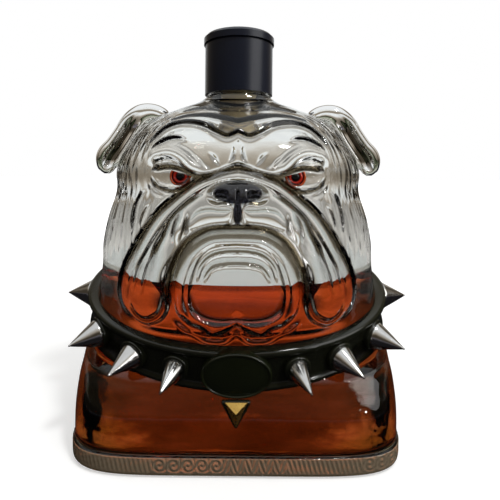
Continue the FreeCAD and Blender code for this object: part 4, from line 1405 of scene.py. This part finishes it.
def floor_white():
    n = new_material("floor_white")
    position = n.add("NewGeometry").outputs["Position"]
    far = length(n, position)
    spot = parts(n, position)
    path = n.add("LightPath").outputs
    seen_glow = n.of("Emission", (1, 1, 1, 1), ramp(n, far, *SEEN_GLOW, *SEEN_GLOW_REACH))
    seen = n.of("AddShader", seen_glow, n.of("BsdfDiffuse", FLOOR_COLOUR))
    beside = n.of("Math", spot["X"], operation="ABSOLUTE")
    behind = n.of("Math", beside, SIDE_GLOW_SHARE, spot["Y"], operation="MULTIPLY_ADD")
    glow = times(n, ramp(n, far, *GLOW, *GLOW_REACH), ramp(n, behind, 0.0, 1.0, *GLOW_START))
    mirrored = n.of("Emission", MIRRORED_COLOUR, ramp(n, spot["Y"], *MIRRORED_GLOW, *MIRRORED_REACH))
    unseen = n.of("MixShader", path["Is Transmission Ray"], mirrored, n.of("Emission", GLOW_COLOUR, glow))
    return n.done(Surface=n.of("MixShader", path["Is Camera Ray"], unseen, seen))


def stage_floor():
    corners = np.array([(-1, -1, 0), (1, -1, 0), (1, 1, 0), (-1, 1, 0)]) * FLOOR_HALF_SIDE
    floor = new_piece("floor", corners + np.array([0, 0, FLOOR_DROP]), [(0, 1, 2, 3)])
    floor.data.materials.append(floor_white())


# The world that the glass sees, by direction. Each has its two brightnesses and the places, along
# the direction's Z or aside, between which it goes from one to the other.
LOW_SKY = (0.26, 0.95, 0.0, 0.22)
HIGH_SKY = (0.0, 0.70, 0.36, 0.48)
ASIDE = (1.0, 0.16, 0.42, 0.82)
AHEAD = (0.06, 0.75, 0.25, 0.8)
OVERHEAD = (0.0, 0.9, 0.60, 0.78)
BACKWARD = (0.0, 1.0, -0.1, 0.35)
DIM_TINT = (1.0, 0.80, 0.55)
BRIGHT_TINT = (0.91, 0.96, 1.0)


def stage_world():
    """White to the camera; to the object, a bright back and top with darker sides."""
    world = bpy.data.worlds.new("studio")
    bpy.context.scene.world = world
    n = Nodes(world, "OutputWorld")
    way = parts(n, n.add("TexCoord").outputs["Generated"])

    def spread(value, numbers):
        return ramp(n, value, *numbers, shape="SMOOTHSTEP")

    sky = n.of("Math", spread(way["Z"], LOW_SKY), spread(way["Z"], HIGH_SKY), operation="SUBTRACT")
    behind = times(n, sky, spread(n.of("Math", way["X"], operation="ABSOLUTE"), ASIDE))
    horizon = n.add("Mix", Factor=spread(way["Y"], BACKWARD))
    n.feed(horizon.inputs[2], spread(way["Z"], AHEAD))
    n.feed(horizon.inputs[3], behind)
    level = n.of("Math", horizon.outputs[0], spread(way["Z"], OVERHEAD), operation="MAXIMUM")
    studio = n.of("Background", mixed(n, level, DIM_TINT, BRIGHT_TINT), level)
    white = n.of("Background", (1, 1, 1, 1), 1.0)
    n.done(Surface=n.of("MixShader", n.add("LightPath").outputs["Is Camera Ray"], studio, white))


# Round lamps: name, place, what it is aimed at, width and power in watts.
LAMPS = [
    ("key", (0.45, -0.45, 1.3), (0, 0, 0.08), 0.2, 6.0),
    ("glint", (0.834, -0.931, 0.228), (0.047, -0.047, 0.031), 0.045, 0.6),
    ("fill", (0.95, -0.55, 0.6), (0, 0, 0.08), 0.9, 3.5),
]


def stage_lamp(name, spot, aim, width, power):
    light = bpy.data.lights.new(name, "AREA")
    light.shape = "DISK"
    light.size = width
    light.energy = power
    lamp = bpy.data.objects.new(name, light)
    bpy.context.scene.collection.objects.link(lamp)
    lamp.location = spot
    lamp.rotation_mode = "QUATERNION"
    lamp.rotation_quaternion = (Vector(aim) - Vector(spot)).to_track_quat("-Z", "Y")


def stage_camera():
    data = bpy.data.cameras.new("camera")
    data.sensor_width = 36
    data.lens = PHOTO_FOCAL / PHOTO_SIDE * data.sensor_width
    data.shift_x = 0.5 - PHOTO_MIDDLE / PHOTO_SIDE
    data.shift_y = PHOTO_HORIZON / PHOTO_SIDE - 0.5
    data.clip_start = 0.01
    camera = bpy.data.objects.new("camera", data)
    bpy.context.scene.collection.objects.link(camera)
    camera.location = (0, -EYE_DISTANCE * MM, EYE_HEIGHT * MM)
    camera.rotation_euler = (math.pi / 2, PHOTO_ROLL, 0)
    bpy.context.scene.camera = camera


stage_floor()
stage_world()
stage_camera()
for lamp in LAMPS:
    stage_lamp(*lamp)
bpy.context.scene.view_settings.view_transform = "Standard"
